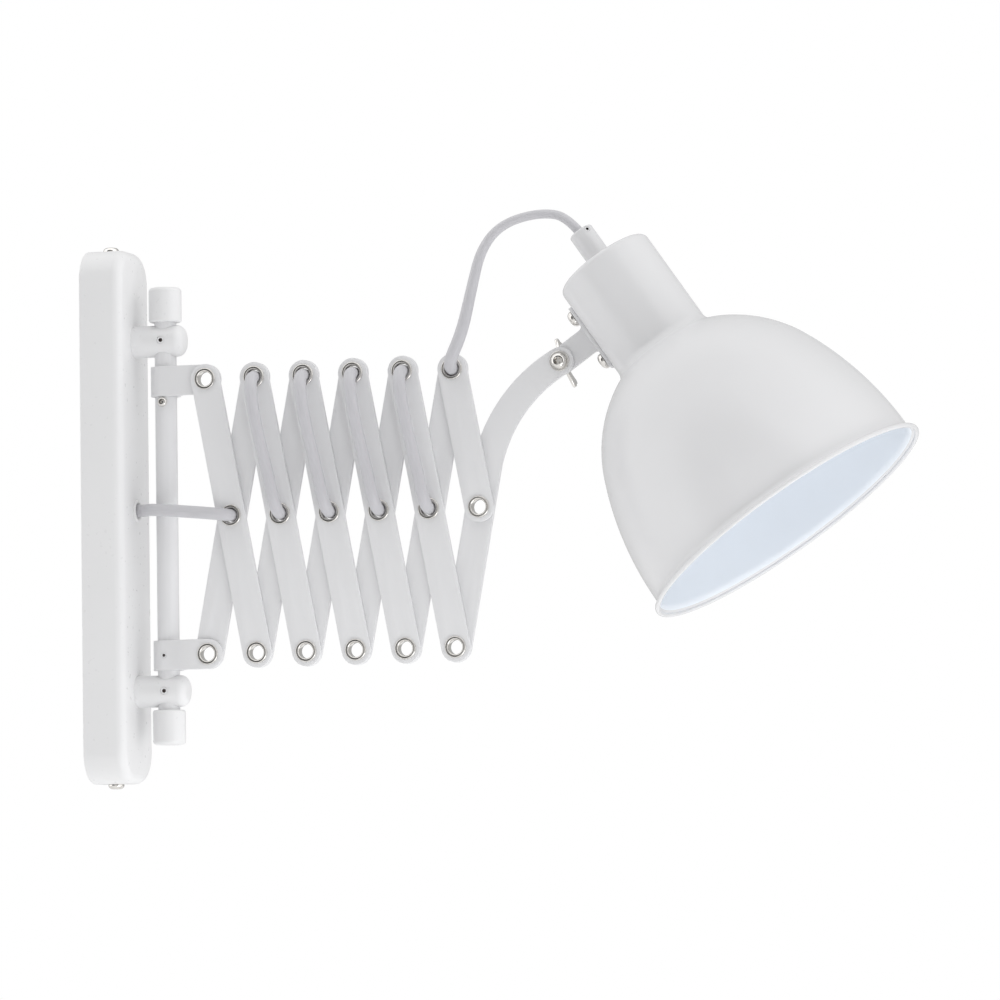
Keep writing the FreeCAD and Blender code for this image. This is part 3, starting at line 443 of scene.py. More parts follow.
def grub_screw(name, radius, outer, inner):
    """Headless screw with a hexagon socket."""
    outer, inner = Vector(outer), Vector(inner)
    length = (outer - inner).length
    chamfer = 0.15 * radius
    profile = [(0, 0), (radius, 0), (radius, length - chamfer), (radius - chamfer, length), (0, length)]
    screw = lathe(name, profile, inner, outer - inner, 32)
    key_low, key_high, key_r = 0.3 * length, length + 1, 0.55 * radius
    key = lathe("key", [(0, key_low), (key_r, key_low), (key_r, key_high), (0, key_high)],
                inner, outer - inner, 6)
    return combine(screw, [key])


# faces within this share of a grub screw's radius get the painted shade of its socket
SOCKET_SHARE = 0.57           # of a grub screw's radius, just past its socket


def painted_grub(screw, body, node, radius, outer, inner, finish):
    """Dresses a grub screw that is painted over; its socket gets a nearly black metal, painted shade for the
    shade down in the hole.
    """
    dress(screw, body, "nickel", node, finish=finish)
    screw.data.materials.append(MATERIALS["socket_painted_shade"])
    outer, inner = Vector(outer), Vector(inner)
    along = (outer - inner).normalized()
    length = (outer - inner).length
    # the socket's faces take the second, nearly black metal: painted shade
    for face in screw.data.polygons:
        place = Vector(face.center) / MM - inner
        height = place.dot(along)
        if (place - along * height).length < SOCKET_SHARE * radius and 0.05 < height < length - 0.02:
            face.material_index = 1


# ---- wall box -----------------------------------------------------------------------------------
def rounded_rectangle(width, height, radius, steps=12):
    """Outline in (y, z)."""
    points = []
    for quarter, (sy, sz) in enumerate(((1, 1), (-1, 1), (-1, -1), (1, -1))):
        centre = (sy * (width / 2 - radius), sz * (height / 2 - radius))
        points += bow(centre, radius, 90 * quarter, 90 * quarter + 90, steps)
    return points


def box_rings(inset, depth):
    """Outlines of the cover's surface, from the wall to the front."""
    edge = BOX_EDGE_R - inset
    width, height, corner = BOX_WIDTH - 2 * inset, BOX_HEIGHT - 2 * inset, BOX_CORNER_R - inset
    rings = [(0.0, rounded_rectangle(width, height, corner))]
    for k in range(9):
        angle = math.radians(90 * k / 8)
        shrink = edge * (1 - math.cos(angle))
        x = depth - edge + edge * math.sin(angle)
        rings.append((x, rounded_rectangle(width - 2 * shrink, height - 2 * shrink, corner - shrink)))
    return rings


def wall_cover():
    outer = box_rings(0.0, BOX_DEPTH)
    inner = box_rings(BOX_WALL, BOX_DEPTH - BOX_WALL)
    outer[0] = (0.25, outer[0][1])
    lip = [(0.0, rounded_rectangle(BOX_WIDTH - 0.5, BOX_HEIGHT - 0.5, BOX_CORNER_R - 0.25))]
    rings = list(reversed(outer)) + lip + inner
    points, faces = [], []
    count = len(outer[0][1])
    for x, outline in rings:
        points += [(x, y, z) for y, z in outline]
    for ring in range(len(rings) - 1):
        for k in range(count):
            a, b = ring * count + k, ring * count + (k + 1) % count
            faces.append((a, b, b + count, a + count))
    faces.append(tuple(range(count)))
    faces.append(tuple(reversed(range((len(rings) - 1) * count, len(rings) * count))))
    cover = built("wall_cover", points, faces)
    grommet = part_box("cable_grommet")
    exit_z = (grommet[0].z + grommet[1].z) / 2 / MM
    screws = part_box("plate_screws")
    screw_x = (screws[0].x + screws[1].x) / 2 / MM
    holes = [
        rod("hole", 2.0, (screw_x, 0, -BOX_HEIGHT), (screw_x, 0, BOX_HEIGHT)),
        rod("hole", 4.65, (10, 0, exit_z), (40, 0, exit_z)),
        rod("hole", 2.5, (10, 0, POST_Z), (40, 0, POST_Z)),
        rod("hole", 2.5, (10, 0, -POST_Z), (40, 0, -POST_Z)),
    ]
    dress(combine(cover, holes), "wall_box", "white_paint", "back_plate")
    for side in (1, -1):
        screw = pan_screw("cover_screw", (screw_x, 0, side * BOX_HEIGHT / 2), (0, 0, side),
                          4.0, 2.4, 1.95, 8.0)
        screw.name = "cover_screw_top" if side > 0 else "cover_screw_bottom"
        dress(screw, "wall_box", "nickel", "plate_screws")


def grommet():
    low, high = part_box("cable_grommet")
    z = (low.z + high.z) / 2 / MM
    inner, outer = BOX_DEPTH - BOX_WALL, BOX_DEPTH
    profile = [(3.3, inner - 1.0), (5.4, inner - 1.0), (5.6, inner - 0.8), (5.6, inner), (4.6, inner)]
    profile += [(4.6, outer), (5.6, outer)] + bow((4.85, outer + 0.25), 0.75, 0, 90, 6)
    profile += bow((4.7, outer + 0.4), 0.6, 90, 180, 5)
    profile += [(3.3, inner)]
    bush = lathe("lead_bush", profile, (0, 0, z), (1, 0, 0))
    dress(bush, "wall_box", "pale_plastic", "cable_grommet", finish="white_plastic")


def inside_the_box():
    """The parts behind the cover keep their CAD solids, with softened edges."""
    finishes = {
        "wall_bracket": "zinc_steel",
        "terminal_block": "pale_plastic",
        "terminal_screws": "brass_parts",
        "cord_clamp": "pale_plastic",
        "post_screws": "zinc_steel",
    }
    for name, finish in finishes.items():
        node = frame["nodes"][name]
        node.data.materials.clear()
        node.data.materials.append(MATERIALS[finish])
        soft = node.modifiers.new("edges", "BEVEL")
        soft.width = 0.00025
        soft.segments = 2
        soft.limit_method = "ANGLE"
        soft.angle_limit = math.radians(50)


# ---- posts, rod, knobs --------------------------------------------------------------------------
def posts():
    for name, z in (("upper_post", POST_Z), ("lower_post", -POST_Z)):
        end = POST_LENGTH
        profile = [(2.5, 0), (POST_R, 0)]
        profile += bow((POST_R - POST_END_R, end - POST_END_R), POST_END_R, 0, 90, 10)
        profile += [(0, end), (0, 9.0), (2.5, 9.0)]
        body = lathe(name + "_turned", profile, (BOX_DEPTH, 0, z), (1, 0, 0), 72)
        tools = [
            rod("hole", ROD_R + 0.05, (ROD_X, 0, z - 20), (ROD_X, 0, z + 20), 64),
            rod("hole", 2.05, (ROD_X, -20, z), (ROD_X, 0, z), 32),
        ]
        dress(combine(body, tools), "wall_box", "white_paint", name)
        ends = (ROD_X, -POST_R + 0.3, z), (ROD_X, -ROD_R - 0.05, z)
        screw = grub_screw("post_grub_" + ("upper" if z > 0 else "lower"), 2.0, *ends)
        painted_grub(screw, "wall_box", "post_set_screws", 2.0, *ends, "white_paint")


def rod_and_knobs():
    half = ROD_LENGTH / 2
    profile = [(0, -half), (ROD_R - 0.5, -half), (ROD_R, -half + 0.5), (ROD_R, half - 0.5)]
    profile += [(ROD_R - 0.5, half), (0, half)]
    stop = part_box("rod_stop_screw")
    stop_z = (stop[0].z + stop[1].z) / 2 / MM
    bar = lathe("rod_bar", profile, (ROD_X, 0, 0), (0, 0, 1), 72)
    bar = combine(bar, [rod("hole", 1.5, (ROD_X, -20, stop_z), (ROD_X, -1, stop_z), 24)])
    dress(bar, "wall_box", "white_paint", "swing_rod", finish="grey_paint")
    screw = pan_screw("stop_screw", (ROD_X, -ROD_R, stop_z), (0, -1, 0), 2.5, 1.8, 1.45, 4.0)
    dress(screw, "wall_box", "nickel", "rod_stop_screw")
    for name, side in (("upper_knob", 1), ("lower_knob", -1)):
        start = POST_Z + POST_R + KNOB_GAP
        end = start + KNOB_HEIGHT
        bore, floor = ROD_R + 0.05, half + 0.5
        profile = [(bore, start + 0.3), (bore + 0.3, start)]
        profile += bow((KNOB_R - 1.2, start + 1.2), 1.2, -90, 0, 6)
        profile += bow((KNOB_R - KNOB_EDGE_R, end - KNOB_EDGE_R), KNOB_EDGE_R, 0, 90, 8)
        profile += [(0, end), (0, floor), (bore, floor)]
        cap = lathe(name + "_turned", profile, (ROD_X, 0, 0), (0, 0, side), 72)
        dress(cap, "wall_box", "white_paint", name)


# ---- straps -------------------------------------------------------------------------------------
def strap(name, z, tongue_near, tongue_back):
    """Folded strip in plan: tongue, round the rod and back against the tongue."""
    lip_back = -RING_IN + LINK_T
    ring_end = -math.degrees(math.asin(-lip_back / RING_OUT))
    outline = list(tongue_near)
    outline += bow((0, 0), RING_OUT, 270, ring_end + 8, 64)
    outline += [(math.sqrt(RING_OUT ** 2 - lip_back ** 2) + 1.2, lip_back), (STRAP_LIP - 0.4, lip_back)]
    outline += [(STRAP_LIP, lip_back - 0.4), (STRAP_LIP, -RING_IN)]
    outline += tongue_back
    outline = [(ROD_X + x, y) for x, y in reversed(outline)]
    level = slab_place(Matrix.Identity(4), (0, 0, z))
    body = plate(name, outline, [(ROD_X, 0, RING_IN)], STRAP_HEIGHT, level)
    pivot_x, half = FIRST.x, STRAP_HEIGHT / 2
    keep = [(0, -half - 1), (pivot_x, -half)] + bow((pivot_x, 0), half, -90, 90, 32)[1:] + [(0, half + 1)]
    tool = plate("keep", [(x, y + z) for x, y in keep], [], 60.0, slab_place(IN_LINK_PLANE, (0, 0, 0)), 0.01)
    body = combine(body, [tool], "INTERSECT")
    body = combine(body, [rod("hole", HOLE_R, (pivot_x, -30, z), (pivot_x, 30, z))])
    soft = body.modifiers.new("edges", "BEVEL")
    soft.width = 0.0002
    soft.segments = 2
    soft.limit_method = "ANGLE"
    soft.angle_limit = math.radians(60)
    return tidy(applied(body))


def straps():
    end = FIRST.x - ROD_X + STRAP_HEIGHT
    upper = strap("upper_strap_folded", FIRST.z, [(end, -RING_OUT)], [(end, -RING_IN)])
    dress(upper, "swing_strap", "grey_paint", "upper_strap")
    start, stop = STRAP_BEND
    lean = (stop - start) / 8
    front, back = NEAR_Y, NEAR_Y + LINK_T
    near = [(end, front), (stop, front), (start, -RING_OUT)]
    behind = [(start + lean, -RING_IN), (stop + lean, back), (end, back)]
    lower = strap("lower_strap_folded", BOTTOM.z, near, behind)
    lower = combine(lower, [rod("hole", 1.55, (ROD_X, -20, BOTTOM.z), (ROD_X, -2, BOTTOM.z), 24)])
    dress(lower, "slide_strap", "grey_paint", "lower_strap")
    ends = (ROD_X, -RING_OUT + 0.1, BOTTOM.z), (ROD_X, -RING_IN, BOTTOM.z)
    screw = grub_screw("strap_grub", 1.5, *ends)
    painted_grub(screw, "slide_strap", "lower_strap_screw", 1.5, *ends, "grey_paint")


# ---- scissor ------------------------------------------------------------------------------------
def stadium(a, b, half):
    """Round-ended outline between two places, in (x, z)."""
    angle = math.degrees(math.atan2(b.z - a.z, b.x - a.x))
    far_end = bow((b.x, b.z), half, angle - 90, angle + 90, 32)
    return far_end + bow((a.x, a.z), half, angle + 90, angle + 270, 32)


def link(name, a, b, low_y, pivots):
    holes = [(p.x, p.z, HOLE_R) for p in pivots]
    place = slab_place(IN_LINK_PLANE, (0, low_y + LINK_T / 2, 0))
    return plate(name, stadium(a, b, LINK_WIDTH / 2), holes, LINK_T, place)


def links():
    for i in range(1, CELLS + 1):
        near = link("near_link_%d" % i, top(i - 1), bottom(i), NEAR_Y, [top(i - 1), middle(i), bottom(i)])
        dress(near, "front_%d" % i, "grey_paint", "front_link_%d" % i)
        far = link("far_link_%d" % i, bottom(i - 1), top(i), FAR_Y, [bottom(i - 1), middle(i), top(i)])
        dress(far, "rear_%d" % i, "grey_paint", "rear_link_%d" % i)
    half = link("near_half_link", top(CELLS), middle(CELLS + 1), NEAR_Y, [top(CELLS), middle(CELLS + 1)])
    dress(half, "front_6", "grey_paint", "front_half_link")


def arm():
    """Straight run, bend and tapering round end, as one outline."""
    base, cross = bottom(CELLS), middle(CELLS + 1)
    along = (cross - base).normalized()
    heading = math.atan2(along.z, along.x)
    start = cross + along * ARM_STRAIGHT
    centre = start + Vector((along.z, 0, -along.x)) * ARM_BEND_R
    half, slim = LINK_WIDTH / 2, ARM_END_HALF_WIDTH
    steps = 40

    def side(aside, order):
        points = []
        for k in order:
            share = k / steps
            angle = heading + math.pi / 2 - share * math.radians(ARM_BEND_DEG)
            reach = ARM_BEND_R + aside * (half + (slim - half) * share)
            points.append((centre.x + reach * math.cos(angle), centre.z + reach * math.sin(angle)))
        return points

    end_heading = math.degrees(heading) - ARM_BEND_DEG
    tip = bow((TILT.x, TILT.z), slim, end_heading + 90, end_heading - 90, 32)[1:-1]
    foot_heading = math.degrees(heading)
    foot = bow((base.x, base.z), half, foot_heading - 90, foot_heading - 270, 32)
    outline = side(1, range(steps + 1)) + tip + side(-1, range(steps, -1, -1)) + foot
    holes = [(base.x, base.z, HOLE_R), (cross.x, cross.z, HOLE_R), (TILT.x, TILT.z, 2.55)]
    place = slab_place(IN_LINK_PLANE, (0, FAR_Y + LINK_T / 2, 0))
    body = plate("end_arm_plate", list(reversed(outline)), holes, LINK_T, place)
    dress(body, "end_arm", "grey_paint", "curved_arm")


def eyelet(name, place):
    """Rolled hollow rivet: a round bead and a funnel mouth on each side."""
    bore, barrel, flange = 3.55, 4.0, 5.4
    seat, crown = LAYER_GAP + LINK_T + 0.05, 0.85
    roll = 0.55
    half = [(barrel, 0), (barrel, seat), (flange - 0.15, seat)]
    half += bow((flange - roll, seat + crown - roll), roll, -25, 80, 8)
    half += bow((bore + 0.85, seat + crown - 0.8), 0.8, 90, 172, 8)
    half += [(bore, seat - 0.7)]
    profile = half + [(r, -h) for r, h in reversed(half) if h > 0]
    return lathe(name, profile, (place.x, MID_Y, place.z), (0, 1, 0), 56, 50.0)


def eyelets():
    for i in range(1, CELLS + 2):
        places = [("top", top(i - 1)), ("middle", middle(i)), ("bottom", bottom(i))]
        for word, place in places if i <= CELLS else places[:2]:
            dress(eyelet("eyelet_%s_%d" % (word, i), place), "front_%d" % i, "nickel", "eyelets_%d" % i)
    dress(eyelet("eyelet_strap", bottom(0)), "slide_strap", "nickel", "lower_strap_eyelet")


# ---- head ---------------------------------------------------------------------------------------
def in_head(radius, along, aside=0.0):
    """Point of the head from its own frame: radius away from the wall side, along the shade's axis."""
    return NECK_TOP + SHADE_DIR * along + SHADE_SIDE * radius + Vector((0, aside, 0))


def shade_profile(depth):
    """Outline of the shade's surface, depth under its outer face: (radius, distance from the neck's top)."""
    join_angle = math.asin((BODY_END - CROWN_END) / SIDE_R)
    side_centre = (BODY_R - SIDE_R, BODY_END)
    join = (side_centre[0] + SIDE_R * math.cos(join_angle), side_centre[1] - SIDE_R * math.sin(join_angle))
    crown = (join[0] - CROWN_R * math.cos(join_angle), join[1] + CROWN_R * math.sin(join_angle))
    fillet_r = NECK_R + NECK_FILLET_R
    run = math.sqrt((CROWN_R + NECK_FILLET_R) ** 2 - (fillet_r - crown[0]) ** 2)
    fillet = (fillet_r, crown[1] - run)
    meet = math.degrees(math.atan2(run, fillet_r - crown[0]))
    join_deg = math.degrees(join_angle)
    edge = (NECK_R - NECK_EDGE_R, NECK_EDGE_R)
    points = bow(edge, NECK_EDGE_R - depth, -90, 0, 8)
    points += bow(fillet, NECK_FILLET_R + depth, 180, 180 - meet, 10)
    points += bow(crown, CROWN_R - depth, -meet, -join_deg, 28)[1:]
    points += bow(side_centre, SIDE_R - depth, -join_deg, 0, 28)[1:]
    points += bow((BODY_R + FLARE_R, BODY_END), FLARE_R + depth, 180, 180 - FLARE_DEG, 8)[1:]
    return points


def shade():
    outer, inner = shade_profile(0.0), shade_profile(SHADE_WALL)
    hole = 5.05
    lip = [(a + b) / 2 for a, b in zip(outer[-1], inner[-1])]
    flare = math.radians(FLARE_DEG)
    centre = (lip[0] + BEAD_R * math.sin(flare), lip[1] + BEAD_R * math.cos(flare))
    heading, turn = 90 - FLARE_DEG, 180 - math.degrees(math.atan2(SHADE_WALL / 2, BEAD_R))
    bead = bow(centre, BEAD_R, heading - turn, heading + turn, 18)
    profile = [(hole, 0)] + outer[:-1] + bead + list(reversed(inner[:-1])) + [(hole, SHADE_WALL)]
    body = lathe("shade_spun", profile, NECK_TOP, SHADE_DIR, 160, 40.0)
    holes = [
        rod("hole", 1.95, in_head(-NECK_R - 1, TILT_ALONG + step),
            in_head(-NECK_R * 0.7, TILT_ALONG + step), 24)
        for step in (-13, 13)
    ]
    body = combine(body, holes)
    dress(body, "head", "white_paint", "lamp_shade", finish="shade_paint")
    # inner faces take the lighter, bluish paint: painted light inside the shade
    body.data.materials.append(MATERIALS["inside_painted_light"])
    for face in body.data.polygons:
        place = Vector(face.center) / MM - NECK_TOP
        along = place.dot(SHADE_DIR)
        faces_in = face.normal.dot(place - SHADE_DIR * along) < 0
        if faces_in and NECK_EDGE_R < along < BODY_END + FLARE_R * math.sin(math.radians(FLARE_DEG)):
            face.material_index = 1


def head_strap():
    """Web to the tilt joint and a flange bent to the neck."""
    half_t, half_w = 1.0, 6.75
    flange_r, flange_t = NECK_R, 1.7
    length, width, corner = 36.0, 12.0, 3.0
    outline = []
    for quarter, (a, b) in enumerate(((1, 1), (-1, 1), (-1, -1), (1, -1))):
        centre = (a * (length / 2 - corner), b * (width / 2 - corner))
        outline += bow(centre, corner, 90 * quarter, 90 * quarter + 90, 8)
    flange = plate("flange", outline, [(-13, 0, 1.95), (13, 0, 1.95)], flange_t, Matrix.Identity(4), 0.25)
    work = bmesh.new()
    work.from_mesh(flange.data)
    for k in range(-5, 6):
        geometry = work.verts[:] + work.edges[:] + work.faces[:]
        bmesh.ops.bisect_plane(work, geom=geometry, plane_co=(0, k * width / 12 * MM, 0), plane_no=(0, 1, 0))
    for vertex in work.verts:
        along, across, up = vertex.co / MM
        radius = flange_r + flange_t / 2 + up
        angle = across / (flange_r + flange_t / 2)
        place = in_head(-radius * math.cos(angle), TILT_ALONG + along, radius * math.sin(angle))
        vertex.co = place * MM
    work.to_mesh(flange.data)
    work.free()
    tidy(flange, 40.0)

    inner = -(flange_r + flange_t * 0.6)
    fillet = 3.0
    web = bow((-TILT_ASIDE, 0), half_w, 270, 90, 32)
    web += [(inner - fillet, half_w)] + bow((inner - fillet, half_w + fillet), fillet, -90, 0, 6)[1:]
    web += bow((inner - fillet, -half_w - fillet), fillet, 0, 90, 6)
    place = Matrix.Identity(4)
    for row in range(3):
        place[row][0] = SHADE_SIDE[row]
        place[row][1] = SHADE_DIR[row]
        place[row][2] = SHADE_SIDE.cross(SHADE_DIR)[row]
    place.translation = in_head(0, TILT_ALONG) * MM
    bracket = plate("web", list(reversed(web)), [(-TILT_ASIDE, 0, 2.55)], 2 * half_t, place)
    dress(joined("head_bracket", [flange, bracket]), "head", "grey_paint", "head_strap", finish="shade_paint")


def neck_and_gland():
    seat = -(NECK_R + 0.1 + 1.6)
    for k, step in enumerate((-13, 13)):
        screw = pan_screw("neck_screw_%d" % (k + 1), in_head(seat, TILT_ALONG + step), -SHADE_SIDE,
                          4.1, 3.1, 1.9, 4.5)
        dress(screw, "head", "nickel", "neck_screws")
    length, radius, edge = 19.6, 6.25, 0.9
    profile = [(3.3, -length + 0.4)] + bow((3.7, -length + 0.4), 0.4, 180, 270, 4)
    profile += bow((radius - edge, -length + edge), edge, -90, 0, 6)
    profile += [(radius, -0.3), (radius - 0.3, 0), (5.0, 0), (5.0, 9.0), (3.3, 9.0)]
    sleeve = lathe("gland_turned", profile, NECK_TOP, SHADE_DIR, 64)
    out = (SHADE_SIDE + Vector((0, -1, 0))).normalized()
    grub_back = 17.5
    middle_point = NECK_TOP - SHADE_DIR * grub_back
    hole = rod("hole", 1.55, middle_point + out * 2, middle_point + out * 12, 24)
    dress(combine(sleeve, [hole]), "head", "white_paint", "cable_gland", finish="shade_paint")
    ends = middle_point + out * (radius - 0.1), middle_point + out * 3.4
    screw = grub_screw("gland_grub", 1.5, *ends)
    painted_grub(screw, "head", "gland_screw", 1.5, *ends, "shade_paint")


def lamp_socket():
    """Holder body with a skirt and grip ribs, its threaded shell and the spring contact."""
    start = SHADE_WALL + 0.3
    profile = [(5.05, start), (12.6, start)] + bow((12.0, start + 1.0), 1.0, -60, -20, 4)
    profile += [(18.3, start + 6.4)] + bow((18.0, start + 7.4), 1.0, -40, 0, 4)
    for k in range(4):
        low = 14.0 + k * 4.0
        profile += [(19.0, low), (18.5, low + 0.4), (18.5, low + 1.4), (19.0, low + 1.8)]
    profile += [(19.0, 34.0), (18.4, 34.4), (18.4, 49.4), (17.8, 50.0), (14.5, 50.0), (14.0, 49.5),
                (14.0, 25.0)]
    profile += [(9.0, 25.0), (9.0, 21.0), (0, 21.0), (0, 9.3), (5.05, 9.3)]
    holder = lathe("holder_moulded", profile, NECK_TOP, SHADE_DIR, 80)
    dress(holder, "head", "pale_plastic", "lamp_holder")

    rings, sides, first, last, pitch = 72, 64, 25.2, 45.0, 3.6
    points, faces = [], []
    for face in (0, 1):
        for j in range(rings + 1):
            along = first + (last - first) * j / rings
            for k in range(sides):
                angle = 2 * math.pi * k / sides
                wave = 0.22 * (1 + math.cos(2 * math.pi * along / pitch - angle))
                radius = 13.25 + wave + 0.22 * face
                offset = Vector((0, math.sin(angle), 0)) + SHADE_SIDE * math.cos(angle)
                points.append(NECK_TOP + SHADE_DIR * along + offset * radius)
    layer = (rings + 1) * sides
    for k in range(sides):
        n = (k + 1) % sides
        for j in range(rings):
            a, b = j * sides + k, j * sides + n
            faces.append((a, b, b + sides, a + sides))
            faces.append((a + layer, a + layer + sides, b + layer + sides, b + layer))
        end = rings * sides
        faces.append((k, k + layer, n + layer, n))
        faces.append((end + k, end + n, end + n + layer, end + k + layer))
    dress(built("screw_shell", points, faces, 60.0), "head", "brass_parts", "holder_sleeve")

    disc = lathe("contact_disc", [(0, 21.0), (3.9, 21.0), (4.0, 21.1), (4.0, 22.1), (3.9, 22.2), (0, 22.2)],
                 NECK_TOP, SHADE_DIR, 40)
    strip, faces = [], []
    steps, half, thick = 10, 1.33, 0.35
    for j in range(steps + 1):
        share = j / steps
        along = 22.2 + 2.0 * math.sin(share * math.pi * 0.62)
        x = -3.2 + 6.0 * share
        for side, lift in ((-half, 0), (half, 0), (half, thick), (-half, thick)):
            strip.append(in_head(x, along + lift, side))
    for j in range(steps):
        for k in range(4):
            a, b = j * 4 + k, j * 4 + (k + 1) % 4
            faces.append((a, b, b + 4, a + 4))
    faces += [(3, 2, 1, 0), tuple(steps * 4 + k for k in range(4))]
    contact = joined("centre_spring", [disc, built("spring", strip, faces)])
    dress(contact, "head", "brass_parts", "centre_contact")


def tilt_joint():
    near, far = FAR_Y - 0.05, HEAD_Y + 1.05
    washer_r, washer_t, hole = 5.0, 1.0, 2.5
    for k, low in enumerate((near - washer_t, far)):
        profile = [(hole, 0), (washer_r - 0.2, 0), (washer_r, 0.2), (washer_r, washer_t - 0.2)]
        profile += [(washer_r - 0.2, washer_t), (hole, washer_t)]
        washer = lathe("tilt_washer_%d" % (k + 1), profile, (TILT.x, low, TILT.z), (0, 1, 0), 56)
        dress(washer, "head", "nickel", "tilt_washers")
    nut_y = far + washer_t + 0.05
    seat = near - washer_t
    length = nut_y + 5.0 + 1.6 - seat
    bolt = pan_screw("tilt_screw", (TILT.x, seat, TILT.z), (0, -1, 0), 4.0, 3.0, 2.45, length)
    dress(bolt, "head", "nickel", "tilt_bolt")
    wing_nut(nut_y)


NUT_LEAN_DEG = -21.0


def wing_nut(nut_y):
    """Turned body with two thin ears, leaning as the nut stands."""
    radius, height, thick = 4.2, 5.0, 1.7
    profile = [(2.5, 0.3), (2.8, 0), (radius - 0.3, 0), (radius, 0.3)]
    profile += bow((radius - 1.0, height - 1.0), 1.0, 0, 90, 5) + [(2.8, height), (2.5, height - 0.3)]
    parts = [lathe("nut_body", profile, (0, 0, 0), (0, 1, 0), 56)]
    span, rise = 13.0, 11.0
    ear = [(2.9, 0.9), (0.5 * span, 1.5)]
    ear += bow((0.8 * span, 0.5 * rise + 0.6), 0.2 * span, -48, 62, 10)
    ear += bow((0.78 * span, rise - 1.9), 1.9, 62, 135, 6)
    ear += [(0.52 * span, 0.72 * rise), (3.0, 0.9 * height)]
    for side in (1, -1):
        turn = Matrix(((0, 0, 1, 0), (0, 1, 0, 0), (side, 0, 0, 0), (0, 0, 0, 1)))
        parts.append(plate("nut_ear", ear, [], thick, turn, 0.5))
    nut = joined("wing_nut_forged", parts)
    lean = Matrix.Rotation(math.radians(NUT_LEAN_DEG), 4, "Y")
    nut.data.transform(Matrix.Translation(Vector((TILT.x, nut_y, TILT.z)) * MM) @ lean)
    dress(nut, "tilt_nut", "nickel", "wing_nut")


# ---- lead ---------------------------------------------------------------------------------------
def smooth_line(route):
    """Points of the NURBS curve that has the route's points as its control points."""
    curve = bpy.data.curves.new("route", "CURVE")
    curve.dimensions = "3D"
    curve.resolution_u = 16
    spline = curve.splines.new("NURBS")
    spline.points.add(len(route) - 1)
    for point, place in zip(spline.points, route):
        point.co = (*(Vector(place) * MM), 1)
    spline.order_u = 3
    spline.use_endpoint_u = True
    obj = link_object("route", curve)
    bpy.context.view_layer.update()
    mesh = bpy.data.meshes.new_from_object(obj.evaluated_get(bpy.context.evaluated_depsgraph_get()))
    points = [v.co / MM for v in mesh.vertices]
    bpy.data.objects.remove(obj)
    return points


def tube(name, line, radius=LEAD_R, sides=24, flatness=None):
    """Tube along points, its rings carried along without twist. flatness gives the share of its thickness
    that is kept across the Y direction at a point, and without it the tube is round."""
    tangents = []
    for k in range(len(line)):
        before, after = line[max(k - 1, 0)], line[min(k + 1, len(line) - 1)]
        tangents.append((after - before).normalized())
    side = Vector((0, 1, 0)) if flatness else tangents[-1].orthogonal()
    rings, faces = [], []
    for place, along in zip(reversed(line), reversed(tangents)):
        side = (side - along * side.dot(along)).normalized()
        up = along.cross(side) * (flatness(place) if flatness else 1.0)
        angles = [2 * math.pi * j / sides for j in range(sides)]
        rings.append([place + (side * math.cos(angle) + up * math.sin(angle)) * radius for angle in angles])
    points = [point for ring in reversed(rings) for point in ring]
    for k in range(len(line) - 1):
        for j in range(sides):
            a, b = k * sides + j, k * sides + (j + 1) % sides
            faces.append((a, b, b + sides, a + sides))
    faces.append(tuple(reversed(range(sides))))
    last = (len(line) - 1) * sides
    faces.append(tuple(range(last, last + sides)))
    obj = built(name, points, faces, 40.0)
    travelled = [0.0]
    for a, b in zip(line, line[1:]):
        travelled.append(travelled[-1] + (b - a).length)
    girth = 2 * math.pi * radius
    layer = obj.data.uv_layers.new(name="along_the_lead")
    for face in obj.data.polygons:
        corners = [obj.data.loops[k].vertex_index for k in face.loop_indices]
        wraps = any(c % sides == 0 for c in corners) and any(c % sides == sides - 1 for c in corners)
        for k, corner in zip(face.loop_indices, corners):
            turn = corner % sides + (sides if wraps and corner % sides == 0 else 0)
            layer.data[k].uv = (girth * turn / sides, travelled[corner // sides])
    return obj


def woven_leads():
    """Runs behind the far links and in front of the near ones, from eyelet to eyelet."""
    def run(start, end, heights, side):
        a, b = Vector((start.x, MID_Y, start.z)), Vector((end.x, MID_Y, end.z))
        along = (b - a).normalized()
        return [a] + [a + along * w + Vector((0, side * h, 0)) for w, h in heights] + [b]

    for i in range(1, CELLS + 1):
        behind = tube("lead_behind_%d" % i, smooth_line(run(middle(i), top(i), BACK_RUN, 1)))
        dress(behind, "rear_%d" % i, "lead_sheath", "cable_back_%d" % i)
    for i in range(1, CELLS):
        ahead = tube("lead_ahead_%d" % i, smooth_line(run(top(i), middle(i + 1), FRONT_RUN, -1)))
        dress(ahead, "front_%d" % (i + 1), "lead_sheath", "cable_front_%d" % i)


LOOP_FLATTEST, LOOP_FLATNESS, LOOP_FLATNESS_Z, FLATTER_PER_MM = 0.72, 0.95, 92.0, 0.0045


def loop_flatness(place):
    """The free loop's lead, from nearly round at the eyelet to oval at the top."""
    share = LOOP_FLATNESS - (place.z - LOOP_FLATNESS_Z) * FLATTER_PER_MM
    return min(1.0, max(LOOP_FLATTEST, share))


def free_lead(name, line, node, flatness=None):
    """A stretch of lead between two bodies, kept as a fixed tube where it is built."""
    piece = tube(name, line, flatness=flatness)
    piece.data.materials.append(MATERIALS["lead_sheath"])
    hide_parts(node)
    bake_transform(piece)


